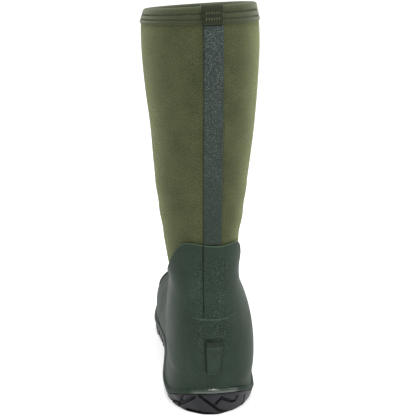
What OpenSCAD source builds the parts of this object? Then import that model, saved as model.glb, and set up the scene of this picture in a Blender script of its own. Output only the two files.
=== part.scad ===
// Insulated hunting boot, right foot, knee-length shaft. Millimetres.
// +Z up, +Y toward the toe, +X to the outer (lateral) side of the foot.
// Origin: middle of the footprint box, on the ground.

/* [Rubber] */
// thickness of the foot shell rubber
shell_thick = 3.4; // [2.4:0.2:4.4]
// height of the tread lugs
lug_height = 4.5; // [3:0.5:6]
// width of the kick tab at its top
kick_width = 18; // [14:1:24]

/* [Soft layers] */
// thickness of the neoprene
neoprene_thick = 4; // [3.2:0.2:4.4]
// thickness of the fleece lining
lining_thick = 1.2; // [0.8:0.2:1.6]

/* [Shaft trim] */
// width of the spine strip down the back
strip_width = 18; // [14:1:24]
// height of the collar band
collar_height = 14.5; // [10:0.5:20]

/* [Joint] */
// gap between the foot and the shaft where the ankle bends
ankle_gap = 0.5; // [0.4:0.1:1]

/* [Hidden] */
ox = -1.2;
oy = -154.5;
hinge_y = 62;
hinge_z = 112;
hinge_r = 88;
m = 36;

// Sections of the boot, top of the shaft to the toe:
// back y, back z, front y, front z, share of the section behind its middle,
// half width inside, half width outside, squareness behind, squareness in front,
// side slope, side shift
T = [
 [3.0, 385, 147.0, 385, 0.50, 56.8, 45.8, 2.2, 2.2, 0.065, 0],
 [2.5, 370, 147.5, 371.5, 0.50, 60.7, 49.8, 2.2, 2.2, 0.030, 0],
 [2.5, 345, 147.0, 346, 0.50, 60.3, 50.8, 2.2, 2.2, 0.025, 0],
 [4.0, 310, 143.5, 311, 0.49, 57.2, 49, 2.2, 2.15, 0.010, 0],
 [6.5, 275, 138.0, 276, 0.48, 53.3, 45.5, 2.2, 2.1, 0, 0],
 [9.5, 240, 132.5, 242, 0.47, 50.9, 41, 2.2, 2.05, 0, 0],
 [12.0, 212, 128.5, 216, 0.46, 48.5, 38, 2.2, 2.0, 0, 0],
 [13.5, 190, 126.5, 196, 0.45, 45.7, 35.5, 2.2, 2.0, 0, 0],
 [14.5, 170, 126.0, 179, 0.45, 43.2, 32.4, 2.2, 2.0, 0, 0],
 [14.5, 151, 127.5, 165, 0.44, 41, 31, 2.2, 2.0, 0, 0],
 [13.0, 131, 131.0, 153, 0.43, 38.5, 29, 2.2, 2.0, 0, 0],
 [11.0, 110, 136.0, 142.5, 0.42, 34.8, 30.3, 2.25, 2.0, 0, 0],
 [8.5, 88, 142.0, 133, 0.41, 34.4, 34.5, 2.3, 2.0, 0, 0],
 [6.5, 66, 149.0, 124.5, 0.41, 35.3, 40.2, 2.35, 2.0, 0, 0],
 [5.5, 45, 156.0, 117, 0.41, 36, 43.2, 2.4, 2.0, 0, 0],
 [7.5, 26, 163.0, 110, 0.40, 36.5, 44, 2.45, 2.0, 0, 0],
 [14.5, 19, 170.0, 104, 0.38, 36.3, 44.2, 2.5, 2.0, 0, 0],
 [34.0, 18, 178.0, 98, 0.36, 35.5, 44.8, 2.6, 2.0, 0, 0],
 [60.0, 18, 186.0, 92.5, 0.34, 33.0, 46.0, 2.7, 2.0, 0, 0],
 [88.0, 18, 195.0, 87.5, 0.32, 32.0, 49.0, 2.9, 2.0, 0, 0],
 [116.0, 18, 204.5, 83.0, 0.30, 32.0, 52.5, 3.1, 2.05, 0, 0],
 [144.0, 18, 215.0, 79.0, 0.28, 33.5, 55.0, 3.3, 2.1, 0, 0],
 [173.0, 18, 226.5, 75.5, 0.26, 35.5, 55.5, 3.3, 2.1, 0, 0],
 [200.0, 18.5, 239.0, 72.0, 0.25, 36.5, 53.5, 3.2, 2.1, 0, 0],
 [224.0, 19, 251.0, 69.0, 0.25, 35.5, 50.0, 3.1, 2.15, 0, -1],
 [246.0, 19.5, 262.5, 66.0, 0.26, 33.0, 45.0, 3.0, 2.2, 0, -2],
 [265.0, 20.5, 274.5, 62.5, 0.29, 29.5, 39.0, 2.8, 2.2, 0, -3],
 [281.0, 21.5, 285.5, 58.0, 0.33, 24.5, 31.5, 2.6, 2.2, 0, -4],
 [293.0, 23, 295.5, 52.5, 0.38, 18.5, 23.5, 2.4, 2.2, 0, -5],
 [301.0, 26, 302.5, 46.5, 0.43, 12.0, 14.5, 2.2, 2.2, 0, -6],
 [305.0, 31, 305.5, 40.0, 0.50, 5.5, 6.0, 2.0, 2.0, 0, -6]];

// Edge of the sole seen from above, with the height of its rim: x, y, z.
// From the back of the heel round the outer side, the toe and the inner side.
O = [[1, 0, 24.7], [18, 4.5, 23.3], [33, 16, 18.8], [43, 35, 11.5],
  [46.5, 56, 10], [49, 82, 10], [52, 110, 11], [55.5, 140, 12], [59, 170, 13],
  [60.5, 197, 13.5], [58, 226, 14.5], [51, 254, 16.5], [38, 280, 19.5],
  [19, 301, 23], [-3, 309, 25], [-20, 302, 23], [-32.5, 282, 19.5],
  [-39, 256, 16.5], [-42, 228, 14.5], [-39, 200, 13.5], [-36.5, 170, 13],
  [-37, 138, 12], [-40, 108, 11], [-43, 80, 10], [-43.5, 56, 10],
  [-40.5, 35, 11.5], [-31, 16, 18.8], [-16, 4.5, 23.3]];
// How far the ground edge lies inside the rim at the same stations.
G = [5.5, 7, 6.5, 4.5, 2.5, 1.5, 1.5, 1.5, 1.5, 1.5, 2, 3, 5, 7, 8, 7, 5, 3, 2,
  1.5, 1.5, 1.5, 1.5, 1.5, 2.5, 4, 5.5, 5.5];

// Top edge of the rubber: angle round the section, place along the sections.
E = [[0, 10.9], [20, 11.3], [35, 11.7], [55, 11.7], [75, 11.4], [90, 11.2],
  [105, 11.4], [125, 11.7], [145, 11.7], [160, 11.3], [170, 10.95],
  [178, 10.75], [186, 10.4], [195, 9.95], [205, 9.45], [213, 9], [219, 8.7],
  [225, 8.4], [231, 8.15], [237, 8], [243, 7.96], [250, 7.97], [260, 8.03],
  [270, 8.06], [284, 8.09], [296, 8.06], [308, 8.05], [318, 8.15],
  [327, 8.45], [335, 9], [345, 9.75], [354, 10.5], [360, 10.9]];

function cr(a, b, c, d, u) = 0.5 * (2*b + (c - a)*u + (2*a - 5*b + 4*c - d)*u*u
  + (3*b - a - 3*c + d)*u*u*u);
function row(t) = let(i = max(0, min(floor(t), len(T) - 2)))
  cr(T[max(i - 1, 0)], T[i], T[i + 1], T[min(i + 2, len(T) - 1)], t - i);
// A point on the boot, "o" outside the face of the shaft fabric.
function pt(t, q, o) = let(r = row(t), b = [r[0], r[1]], f = [r[2], r[3]],
  d = f - b, n = norm(d), e = d/n, c0 = b + r[4]*d, c = cos(q), s = sin(q),
  p = s >= 0 ? r[8] : r[7],
  x = sign(c)*pow(abs(c), 2/p)*((c >= 0 ? r[6] : r[5]) + o) + r[10],
  v = sign(s)*pow(abs(s), 2/p)*((s >= 0 ? (1 - r[4])*n : r[4]*n) + o))
  [x + ox, c0[0] + e[0]*v + oy, max(c0[1] + e[1]*v + r[9]*x, (o < 0 ? 23.5 : 22.5) - 0.8*o)];
// Place along the sections where the wall crosses the circle "r" round the hinge.
function far(t, q, o, r) = let(p = pt(t, q, o))
  norm([p[1] - oy - hinge_y, p[2] - hinge_z]) - r;
function cut(q, o, r, a = 4.5, b = 9.5, k = 0) = k > 13 ? (a + b)/2
  : let(c = (a + b)/2) far(c, q, o, r) > 0 ? cut(q, o, r, c, b, k + 1)
  : cut(q, o, r, a, c, k + 1);
function edge(q) = lookup(q, E);
// Start and end of a wall: plain number, the ankle cut, or the rubber edge.
function place(k, q, o) = k == "shaft_end" ? cut(q, o, hinge_r + ankle_gap/2)
  : k == "foot_end" ? cut(q, o, hinge_r - ankle_gap/2)
  : k == "strip_end" ? cut(q, o, hinge_r + 1.4) : k == "strip_start" ? cut(q, o, hinge_r - 1.4)
  : k == "rubber" ? edge(q) : k;
// The rubber is thinner at its top edge and full in the foot.
function fat(t) = 2.2 + (shell_thick - 2.2)*min(1, max(0, (t - 9.5)/2.5));
// The lining sits further in where the foot has its extra insulation.
function deep(t) = -1.5 - neoprene_thick - 2.1*min(1, max(0, (t - 12.5)/2));
function ofs(k, t) = k == "shell" ? 0.1 + fat(t) : k == "shell_in" ? (t < 12.6 ? 0.55 : 0.1)
  : k == "lining_out" ? deep(t) : k == "lining_in" ? deep(t) - lining_thick : k;

// A wall round the boot between two offsets, open at both ends or shut at the toe.
// It has n rows down to the first fixed place and one row to each fixed place after it.
module wall(a, out, inn, oo, oi, n, shut = false) {
  qs = [for (j = [0:m - 1]) j*360/m];
  pts = concat(rows(a, out, oo, n, qs), rows(a, inn, oi, n, qs),
    shut ? [mid(last(out), ofs(oo, last(out))), mid(last(inn), ofs(oi, last(inn)))] : []);
  r = n + len(out) - 1;
  h = (r + 1)*m;
  f = concat(
    skin(0, r, false), skin(h, r, true),
    [for (j = [0:m - 1]) let(k = (j + 1) % m) each [[j, h + j, h + k], [j, h + k, k]]],
    shut ? [for (j = [0:m - 1]) let(k = (j + 1) % m)
      each [[r*m + j, r*m + k, 2*h], [h + r*m + j, 2*h + 1, h + r*m + k]]]
    : [for (j = [0:m - 1]) let(k = (j + 1) % m)
      each [[r*m + j, h + r*m + k, h + r*m + j], [r*m + j, r*m + k, h + r*m + k]]]);
  polyhedron(points = pts, faces = f, convexity = 8);
}
function last(l) = l[len(l) - 1];
function rows(a, st, o, n, qs) = let(e = ofs(o, 8)) concat(
  [for (i = [0:n]) for (q = qs) let(p = place(a, q, e), t = p + (place(st[0], q, e) - p)*i/n)
    pt(t, q, ofs(o, t))],
  len(st) < 2 ? [] : [for (i = [1:len(st) - 1]) for (q = qs) pt(st[i], q, ofs(o, st[i]))]);
// Fixed places every whole section from 12.5 to one, then an end place.
function marks(b, e) = concat([for (t = [12.5:1:b]) t], [e]);
function mid(t, o) = (pt(t, 90, o) + pt(t, 270, o))/2;
function skin(h, n, inward) = [for (i = [0:n - 1]) for (j = [0:m - 1])
  let(k = (j + 1) % m, a = h + i*m + j, b = h + i*m + k, c = h + (i + 1)*m + k, d = h + (i + 1)*m + j)
  each inward ? [[a, c, b], [a, d, c]] : [[a, b, c], [a, c, d]]];

// Closed sheet between two grids of points, each nt by nq squares.
module sheet(g, nt, nq) {
  c = nq + 1;
  h = (nt + 1)*c;
  polyhedron(points = g, convexity = 6, faces = concat(
    [for (i = [0:nt - 1]) for (j = [0:nq - 1]) let(a = i*c + j)
      each [[a, a + 1, a + c + 1], [a, a + c + 1, a + c],
        [h + a, h + a + c + 1, h + a + 1], [h + a, h + a + c, h + a + c + 1]]],
    [for (j = [0:nq - 1]) each [[j, h + j, h + j + 1], [j, h + j + 1, j + 1],
      [nt*c + j, nt*c + j + 1, h + nt*c + j + 1], [nt*c + j, h + nt*c + j + 1, h + nt*c + j]]],
    [for (i = [0:nt - 1]) each [[i*c, (i + 1)*c, h + (i + 1)*c], [i*c, h + (i + 1)*c, h + i*c],
      [i*c + nq, h + i*c + nq, h + (i + 1)*c + nq], [i*c + nq, h + (i + 1)*c + nq, (i + 1)*c + nq]]]));
}
// A patch on the boot: part of the way round, part of the way along.
module patch(t0, t1, q0, q1, oi, oo, nt, nq)
  sheet([for (s = [0, 1]) for (i = [0:nt]) for (j = [0:nq])
    pt(t0 + (t1 - t0)*i/nt, q0 + (q1 - q0)*j/nq, s == 0 ? oo : oi)], nt, nq);
// A point a given distance to the side of the back of the boot.
function back(t, x, o) = let(r = row(t), w = (x >= 0 ? r[6] : r[5]) + o,
  q = acos(pow(min(1, abs(x)/w), r[7]/2))) pt(t, x >= 0 ? 360 - q : 180 + q, o);
// A strip down the back.
module strip(t0, t1, w0, w1, oi, oo, nt, nx, shift = 0)
  sheet([for (s = [0, 1]) for (i = [0:nt]) for (j = [0:nx])
    let(o = s == 0 ? oo : oi, a = place(t0, 270, o), b = place(t1, 270, o))
    back(a + (b - a)*i/nt, shift + (w0 + (w1 - w0)*i/nt)*(j/nx - 0.5), o)], nt, nx);
// A hoop round the shaft; each corner is offset, place along, extra height.
module hoop(c) {
  n = len(c);
  polyhedron(points = [for (l = c) for (j = [0:m - 1]) pt(l[1], j*360/m, l[0]) + [0, 0, l[2]]],
    convexity = 6, faces = [for (i = [0:n - 1]) let(i2 = (i + 1) % n) for (j = [0:m - 1])
      let(k = (j + 1) % m) each [[i*m + j, i*m + k, i2*m + k], [i*m + j, i2*m + k, i2*m + j]]]);
}
// The foot as a solid, out to an offset.
module foot_form(o, a = 12, b = 30, n = 20) {
  h = (n + 1)*m;
  polyhedron(points = concat([for (i = [0:n]) for (j = [0:m - 1]) pt(a + (b - a)*i/n, j*360/m, o)],
    [mid(a, o), mid(b, o)]), convexity = 6, faces = concat(skin(0, n, false),
    [for (j = [0:m - 1]) let(k = (j + 1) % m) each [[j, h, k], [n*m + j, n*m + k, h + 1]]]));
}

// Sole plan.
function ring(i) = O[(i + 2*len(O)) % len(O)];
function rim(t) = let(i = floor(t)) cr(ring(i - 1), ring(i), ring(i + 1), ring(i + 2), t - i);
function tuck(t) = let(i = floor(t), u = t - i, n = len(G)) G[(i + n) % n]*(1 - u) + G[(i + 1 + n) % n]*u;
function side(t) = let(d = rim(t + 0.1) - rim(t - 0.1), n = norm([d[0], d[1]])) [d[1]/n, -d[0]/n];
// A point of the sole plan; "o" outward, "g" how much of the ground tuck is taken.
function sole(j, k, o, g) = let(t = j*len(O)/k, p = rim(t), v = side(t), w = o - g*tuck(t))
  [p[0] + ox + w*v[0], p[1] + oy + w*v[1], p[2]];
function plan(o, g = 0, k = 84) = [for (j = [0:k - 1]) let(p = sole(j, k, o, g)) [p[0], p[1]]];
function level(l, k) = [for (j = [0:k - 1]) let(p = sole(j, k, l[0], l[1]))
  [p[0], p[1], max(l[4], l[3]*p[2] + l[2])]];
// Rings joined one to the next: outward, tuck, height, share of the rim height, least height.
module tub(c, k = 84) {
  n = len(c);
  polyhedron(points = [for (l = c) each level(l, k)], convexity = 8, faces = concat(
    [for (i = [0:n - 2]) for (j = [0:k - 1]) let(j2 = (j + 1) % k)
      each [[i*k + j, i*k + k + j2, i*k + j2], [i*k + j, i*k + k + j, i*k + k + j2]]],
    [[for (j = [0:k - 1]) j]], [[for (j = [k - 1:-1:0]) (n - 1)*k + j]]));
}
module band(c, k = 84) {
  n = len(c);
  polyhedron(points = [for (l = c) each level(l, k)], convexity = 8, faces =
    [for (i = [0:n - 1]) let(i2 = (i + 1) % n) for (j = [0:k - 1]) let(j2 = (j + 1) % k)
      each [[i*k + j, i2*k + j2, i*k + j2], [i*k + j, i2*k + j, i2*k + j2]]]);
}
// Plan of a board inside the boot, cut short of the toe.
module inner_plan(o, y1) offset(6) offset(delta = -6) intersection() {
  polygon(plan(o));
  translate([-100, oy]) square([200, y1]);
}
// One zigzag groove across the tread.
module groove(y, w, rise) translate([ox, y + oy]) polygon([[-75, -1.6*rise], [0, 0],
  [75, -1.6*rise], [75, w - 1.6*rise], [0, w], [-75, w - 1.6*rise]]);

module outsole() color([0.16, 0.16, 0.17]) {
  tub([[0, 1, lug_height - 0.4, 0, 0], [0, 0.05, 0, 1, 0], [-2.6, 0.1, 0, 1, 0],
    [-3, 1, 8.6, 0, 0]]);
  linear_extrude(lug_height) difference() {
    polygon(plan(-0.3, 1));
    for (i = [0:6]) groove(8 + i*13, 4, 6);
    for (i = [0:12]) groove(152 + i*13, 4.5, -7);
    translate([ox - 34, 104 + oy]) square([80, 40]);
    translate([ox, oy - 5]) square([3, 100]);
    translate([ox + 6, 150 + oy]) square([3, 165]);
  }
}
module midsole() color([0.42, 0.42, 0.40]) difference() {
  tub([[-3.4, 1, 8.8, 0, 0], [-3.8, 0.4, 19.4, 0, 0]]);
  translate([ox - 10.2, 79.8 + oy, 17.2]) cube([20.4, 100.4, 5]);
}
module shank() color([0.7, 0.7, 0.72])
  translate([ox - 10, 80 + oy, 17.4]) cube([20, 100, 2]);
module insole_board() color([0.6, 0.5, 0.36])
  translate([0, 0, 22.5]) linear_extrude(1.6) inner_plan(-20.5, 272);
module footbed() color([0.3, 0.32, 0.3])
  translate([0, 0, 30.8]) linear_extrude(4) inner_plan(-24, 266);

module rubber_shell() color([0.25, 0.29, 0.26])
  wall("rubber", marks(29.5, 30), concat(marks(28.5, 29.2), [29.7]), "shell", "shell_in", 5, shut = true);
module foxing_strip() color([0.26, 0.31, 0.27]) difference() {
  band([[0.2, 0, 0.1, 1, 0], [0.9, 0, 1.4, 1, 0], [0.9, 0, 3.6, 1, 0], [0.1, 0, 5, 1, 0],
    [-1.2, 0, 20, 0.6, 0], [-3.6, 0, 26, 0.6, 0], [-9, 0, 26, 0.6, 0],
    [-9, 0, 0.5, 1, 19.9], [-2.9, 0.1, 0.1, 1, 19.6], [-2.9, 0.1, 0.1, 1, 0]]);
  foot_form(shell_thick + 0.7);
}
module heel_overlay() color([0.24, 0.29, 0.25])
  patch(11.5, 14, 210, 330, shell_thick + 0.25, shell_thick + 1.45, 5, 12);
module kick_tab() color([0.22, 0.27, 0.23]) {
  strip(12.4, 13.85, kick_width, kick_width*0.62, shell_thick + 1.5, shell_thick + 4, 6, 4);
}
module toe_cap() color([0.24, 0.29, 0.25])
  patch(25.5, 29.5, 30, 150, shell_thick + 0.25, shell_thick + 1.45, 4, 12);
module toe_stiffener() color([0.75, 0.7, 0.6]) patch(25.5, 28.5, 20, 160, -0.9, -0.25, 3, 14);
module heel_stiffener() color([0.75, 0.7, 0.6]) patch(12.7, 14.5, 210, 330, -0.9, -0.25, 2, 12);

module neoprene_foot() color([0.12, 0.12, 0.13])
  wall("foot_end", marks(28.5, 29.2), concat(marks(27.5, 28), [28.3]), -1.2, -1.2 - neoprene_thick, 6, shut = true);
module neoprene_shaft() color([0.12, 0.12, 0.13])
  wall(0.03, ["shaft_end"], ["shaft_end"], -1.2, -1.2 - neoprene_thick, 9);
module face_fabric_ankle() color([0.38, 0.41, 0.27])
  wall("foot_end", [12.5], [12.5], 0, -0.9, 6);
module face_fabric_shaft() color([0.38, 0.41, 0.27])
  wall(0.03, ["shaft_end"], ["shaft_end"], 0, -0.9, 9);
module toe_foam() color([0.8, 0.8, 0.76])
  patch(15.5, 26.5, 20, 160, -3.3 - neoprene_thick, -1.5 - neoprene_thick, 11, 14);
module lining_foot() color([0.45, 0.4, 0.33])
  wall("foot_end", marks(26.5, 27.7), concat(marks(25.5, 26.5), [27.2]), "lining_out", "lining_in", 6, shut = true);
module lining_shaft() color([0.45, 0.4, 0.33])
  wall(0.03, ["shaft_end"], ["shaft_end"], "lining_out", "lining_in", 9);

module spine_strip() color([0.27, 0.33, 0.31])
  strip(1.12, "strip_end", strip_width, strip_width, 0.25, 1.7, 9, 4);
module spine_strip_foot() color([0.27, 0.33, 0.31])
  strip("strip_start", 7.96, strip_width, strip_width, 0.25, 1.7, 2, 4);
module seam_tape() color([0.2, 0.2, 0.2])
  strip(0.6, "strip_end", 12, 12, -2.6 - neoprene_thick - lining_thick, -1.95 - neoprene_thick - lining_thick, 9, 2);

k1 = collar_height/43;
i1 = -1.5 - neoprene_thick - lining_thick;
module collar_binding() color([0.32, 0.36, 0.24])
  hoop([[0.1, 0, 0.2], [0.1, k1, 0], [1.7, k1, 0], [2, k1*0.5, 0], [1.9, 0, 0.4], [1, 0, 1.8],
    [-3, 0, 2.4], [i1, 0, 1.8], [i1 - 1.2, 0, 0.3], [i1 - 1.2, k1, 0], [i1 - 0.1, k1, 0], [i1 - 0.1, 0, 0.2]]);
module collar_band() color([0.34, 0.38, 0.26])
  hoop([[0.1, k1 + 0.04, 0], [0.1, 2*k1, 0], [1.7, 2*k1, 0], [2, 1.6*k1, 0], [1.7, k1 + 0.04, 0]]);
module collar_stitching() color([0.55, 0.53, 0.4])
  hoop([[0.9, k1 + 0.008, 0], [0.9, k1 + 0.032, 0], [1.5, k1 + 0.032, 0], [1.5, k1 + 0.008, 0]]);
module collar_roll() color([0.32, 0.36, 0.24])
  hoop([[0.1, 2*k1 + 0.02, 0], [0.1, 2*k1 + 0.22, 0], [1.4, 2*k1 + 0.22, 0], [1.8, 2*k1 + 0.17, 0],
    [2, 2*k1 + 0.12, 0], [1.8, 2*k1 + 0.06, 0], [1.4, 2*k1 + 0.02, 0]]);
module pull_tab() color([0.3, 0.34, 0.22])
  strip(0.05, 1.08, 20, 20, 3, 4.4, 6, 4, shift = -1.8);
module tab_stitching() color([0.6, 0.58, 0.45]) {
  strip(0.47, 0.53, 14, 14, 4.45, 5, 1, 4, shift = -1);
  strip(0.82, 0.88, 14, 14, 4.45, 5, 1, 4, shift = -1);
  strip(0.48, 0.87, 1.2, 1.2, 4.5, 4.95, 3, 1, shift = 5.2);
}
module bartack() color([0.6, 0.58, 0.45])
  strip(2*k1 + 0.06, 2*k1 + 0.2, 10, 10, 2.1, 2.5, 1, 3, shift = -24);

outsole();
midsole();
shank();
insole_board();
footbed();
rubber_shell();
foxing_strip();
heel_overlay();
kick_tab();
toe_cap();
toe_stiffener();
heel_stiffener();
toe_foam();
neoprene_foot();
neoprene_shaft();
face_fabric_ankle();
face_fabric_shaft();
lining_foot();
lining_shaft();
spine_strip();
spine_strip_foot();
collar_band();
collar_binding();
collar_roll();
collar_stitching();
pull_tab();
tab_stitching();
bartack();
seam_tape();
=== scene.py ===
import math
import random
import bpy
import bmesh
import numpy as np
from mathutils import Matrix, Vector


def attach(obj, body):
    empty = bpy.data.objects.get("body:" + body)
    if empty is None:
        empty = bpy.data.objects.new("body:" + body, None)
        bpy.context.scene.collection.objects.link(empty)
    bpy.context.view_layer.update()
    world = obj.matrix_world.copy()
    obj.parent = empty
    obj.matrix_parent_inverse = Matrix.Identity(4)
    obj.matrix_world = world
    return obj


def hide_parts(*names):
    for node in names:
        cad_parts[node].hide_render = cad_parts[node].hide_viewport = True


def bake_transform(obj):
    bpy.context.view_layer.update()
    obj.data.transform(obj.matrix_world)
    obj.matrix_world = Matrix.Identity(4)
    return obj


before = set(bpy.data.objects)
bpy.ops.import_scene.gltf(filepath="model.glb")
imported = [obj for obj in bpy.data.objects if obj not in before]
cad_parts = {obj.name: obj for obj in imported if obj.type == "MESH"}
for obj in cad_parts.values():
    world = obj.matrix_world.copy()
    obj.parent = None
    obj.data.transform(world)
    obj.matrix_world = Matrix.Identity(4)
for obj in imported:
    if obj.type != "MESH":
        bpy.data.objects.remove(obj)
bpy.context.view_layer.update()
random.seed(7)
rng = np.random.default_rng(7)

# ---------------------------------------------------------------- form of the boot
OX, OY = -1.2, -154.5
T = np.array([
    [3.0, 385, 147.0, 385, 0.50, 56.8, 45.8, 2.2, 2.2, 0.065, 0],
    [2.5, 370, 147.5, 371.5, 0.50, 60.7, 49.8, 2.2, 2.2, 0.030, 0],
    [2.5, 345, 147.0, 346, 0.50, 60.3, 50.8, 2.2, 2.2, 0.025, 0],
    [4.0, 310, 143.5, 311, 0.49, 57.2, 49, 2.2, 2.15, 0.010, 0],
    [6.5, 275, 138.0, 276, 0.48, 53.3, 45.5, 2.2, 2.1, 0, 0],
    [9.5, 240, 132.5, 242, 0.47, 50.9, 41, 2.2, 2.05, 0, 0],
    [12.0, 212, 128.5, 216, 0.46, 48.5, 38, 2.2, 2.0, 0, 0],
    [13.5, 190, 126.5, 196, 0.45, 45.7, 35.5, 2.2, 2.0, 0, 0],
    [14.5, 170, 126.0, 179, 0.45, 43.2, 32.4, 2.2, 2.0, 0, 0],
    [14.5, 151, 127.5, 165, 0.44, 41, 31, 2.2, 2.0, 0, 0],
    [13.0, 131, 131.0, 153, 0.43, 38.5, 29, 2.2, 2.0, 0, 0],
    [11.0, 110, 136.0, 142.5, 0.42, 34.8, 30.3, 2.25, 2.0, 0, 0],
    [8.5, 88, 142.0, 133, 0.41, 34.4, 34.5, 2.3, 2.0, 0, 0],
    [6.5, 66, 149.0, 124.5, 0.41, 35.3, 40.2, 2.35, 2.0, 0, 0],
    [5.5, 45, 156.0, 117, 0.41, 36, 43.2, 2.4, 2.0, 0, 0],
    [7.5, 26, 163.0, 110, 0.40, 36.5, 44, 2.45, 2.0, 0, 0],
    [14.5, 19, 170.0, 104, 0.38, 36.3, 44.2, 2.5, 2.0, 0, 0],
    [34.0, 18, 178.0, 98, 0.36, 35.5, 44.8, 2.6, 2.0, 0, 0],
    [60.0, 18, 186.0, 92.5, 0.34, 33.0, 46.0, 2.7, 2.0, 0, 0],
    [88.0, 18, 195.0, 87.5, 0.32, 32.0, 49.0, 2.9, 2.0, 0, 0],
    [116.0, 18, 204.5, 83.0, 0.30, 32.0, 52.5, 3.1, 2.05, 0, 0],
    [144.0, 18, 215.0, 79.0, 0.28, 33.5, 55.0, 3.3, 2.1, 0, 0],
    [173.0, 18, 226.5, 75.5, 0.26, 35.5, 55.5, 3.3, 2.1, 0, 0],
    [200.0, 18.5, 239.0, 72.0, 0.25, 36.5, 53.5, 3.2, 2.1, 0, 0],
    [224.0, 19, 251.0, 69.0, 0.25, 35.5, 50.0, 3.1, 2.15, 0, -1],
    [246.0, 19.5, 262.5, 66.0, 0.26, 33.0, 45.0, 3.0, 2.2, 0, -2],
    [265.0, 20.5, 274.5, 62.5, 0.29, 29.5, 39.0, 2.8, 2.2, 0, -3],
    [281.0, 21.5, 285.5, 58.0, 0.33, 24.5, 31.5, 2.6, 2.2, 0, -4],
    [293.0, 23, 295.5, 52.5, 0.38, 18.5, 23.5, 2.4, 2.2, 0, -5],
    [301.0, 26, 302.5, 46.5, 0.43, 12.0, 14.5, 2.2, 2.2, 0, -6],
    [305.0, 31, 305.5, 40.0, 0.50, 5.5, 6.0, 2.0, 2.0, 0, -6]], float)
O = np.array([
    [1, 0, 24.7], [18, 4.5, 23.3], [33, 16, 18.8], [43, 35, 11.5],
    [46.5, 56, 10], [49, 82, 10], [52, 110, 11], [55.5, 140, 12], [59, 170, 13],
    [60.5, 197, 13.5], [58, 226, 14.5], [51, 254, 16.5], [38, 280, 19.5],
    [19, 301, 23], [-3, 309, 25], [-20, 302, 23], [-32.5, 282, 19.5],
    [-39, 256, 16.5], [-42, 228, 14.5], [-39, 200, 13.5], [-36.5, 170, 13],
    [-37, 138, 12], [-40, 108, 11], [-43, 80, 10], [-43.5, 56, 10],
    [-40.5, 35, 11.5], [-31, 16, 18.8], [-16, 4.5, 23.3]], float)
G = np.array([5.5, 7, 6.5, 4.5, 2.5, 1.5, 1.5, 1.5, 1.5, 1.5, 2, 3, 5, 7, 8, 7, 5, 3, 2,
              1.5, 1.5, 1.5, 1.5, 1.5, 2.5, 4, 5.5, 5.5])
E = np.array([[0, 10.9], [20, 11.3], [35, 11.7], [55, 11.7], [75, 11.4], [90, 11.2],
    [105, 11.4], [125, 11.7], [145, 11.7], [160, 11.3], [170, 10.95],
    [178, 10.75], [186, 10.4], [195, 9.95], [205, 9.45], [213, 9], [219, 8.7],
    [225, 8.4], [231, 8.15], [237, 8], [243, 7.96], [250, 7.97], [260, 8.03],
    [270, 8.06], [284, 8.09], [296, 8.06], [308, 8.05], [318, 8.15],
    [327, 8.45], [335, 9], [345, 9.75], [354, 10.5], [360, 10.9]])
_ed = np.interp(np.arange(-60, 420) % 360, E[:, 0], E[:, 1])
_k = np.exp(-0.5 * (np.arange(-9, 10) / 2.6) ** 2)
_ed = np.convolve(_ed, _k / _k.sum(), mode="same")[60:421]


def cr(a, b, c, d, u):
    return 0.5 * (2 * b + (c - a) * u + (2 * a - 5 * b + 4 * c - d) * u * u
                  + (3 * b - a - 3 * c + d) * u ** 3)


def row(t):
    t = np.asarray(t, float)
    i = np.clip(np.floor(t).astype(int), 0, len(T) - 2)
    u = (t - i)[..., None]
    return cr(T[np.maximum(i - 1, 0)], T[i], T[i + 1], T[np.minimum(i + 2, len(T) - 1)], u)


def pt(t, q, o):
    """Point of the boot in mm at place t, angle q, o outside the face of the fabric."""
    t, q, o = np.broadcast_arrays(np.asarray(t, float), np.asarray(q, float), np.asarray(o, float))
    r = row(t)
    yb, zb, yf, zf, lam, wl, wr, nb, nf, tilt, xc = np.moveaxis(r, -1, 0)
    dy, dz = yf - yb, zf - zb
    n = np.hypot(dy, dz)
    ey, ez = dy / n, dz / n
    a = np.radians(q)
    c, s = np.cos(a), np.sin(a)
    p = np.where(s >= 0, nf, nb)
    x = np.sign(c) * np.abs(c) ** (2 / p) * (np.where(c >= 0, wr, wl) + o) + xc
    v = np.sign(s) * np.abs(s) ** (2 / p) * (np.where(s >= 0, (1 - lam) * n, lam * n) + o)
    z = np.maximum(zb + lam * dz + ez * v + tilt * x, np.where(o < 0, 23.5, 22.5) - 0.8 * o)
    return np.stack([x + OX, yb + lam * dy + ey * v + OY, z], -1)


# Columns: half the side from the front, lines a fixed distance from the middle
# of the back, then the other half side.
BACK = np.array([-24, -22, -20, -18, -16, -14, -12.4, -10.6, -9.9, -9.4, -9.0, -8.5, -7.4, -6,
                 -4, -2, 0, 2, 4, 6, 8, 9.6, 10.1, 10.5, 11.0, 11.6, 12.6, 14, 16, 18, 20, 22, 24.0])
NSIDE = 40
_f = np.linspace(0, 1, NSIDE)
KIND = np.concatenate([np.zeros(NSIDE - 1), np.ones(len(BACK)), np.full(NSIDE - 1, 2)]).astype(int)
XB = np.concatenate([np.full(NSIDE - 1, -99.0), BACK, np.full(NSIDE - 1, 99.0)])
FR = np.concatenate([_f[:-1], np.zeros(len(BACK)), _f[1:]])
NC = len(KIND)              # the last column repeats the first
MIDC = NSIDE - 1 + len(BACK) // 2


def colq(t, o):
    t, o = np.broadcast_arrays(np.asarray(t, float), np.asarray(o, float))
    r = row(t)
    wl, wr, p = r[..., 5] + o, r[..., 6] + o, r[..., 7]
    f = np.minimum(1, 0.85 * np.minimum(wl, wr) / 24)

    def qx(x):
        a = np.minimum(1, np.abs(x) / np.where(x >= 0, wr, wl)) ** (p / 2)
        return 270 + np.degrees(np.arcsin(np.sign(x) * a))
    ql, qr = qx(-24 * f), qx(24 * f)
    return np.where(KIND == 0, 90 + (ql - 90) * FR,
                    np.where(KIND == 1, qx(XB * f), qr + (450 - qr) * FR))


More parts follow.
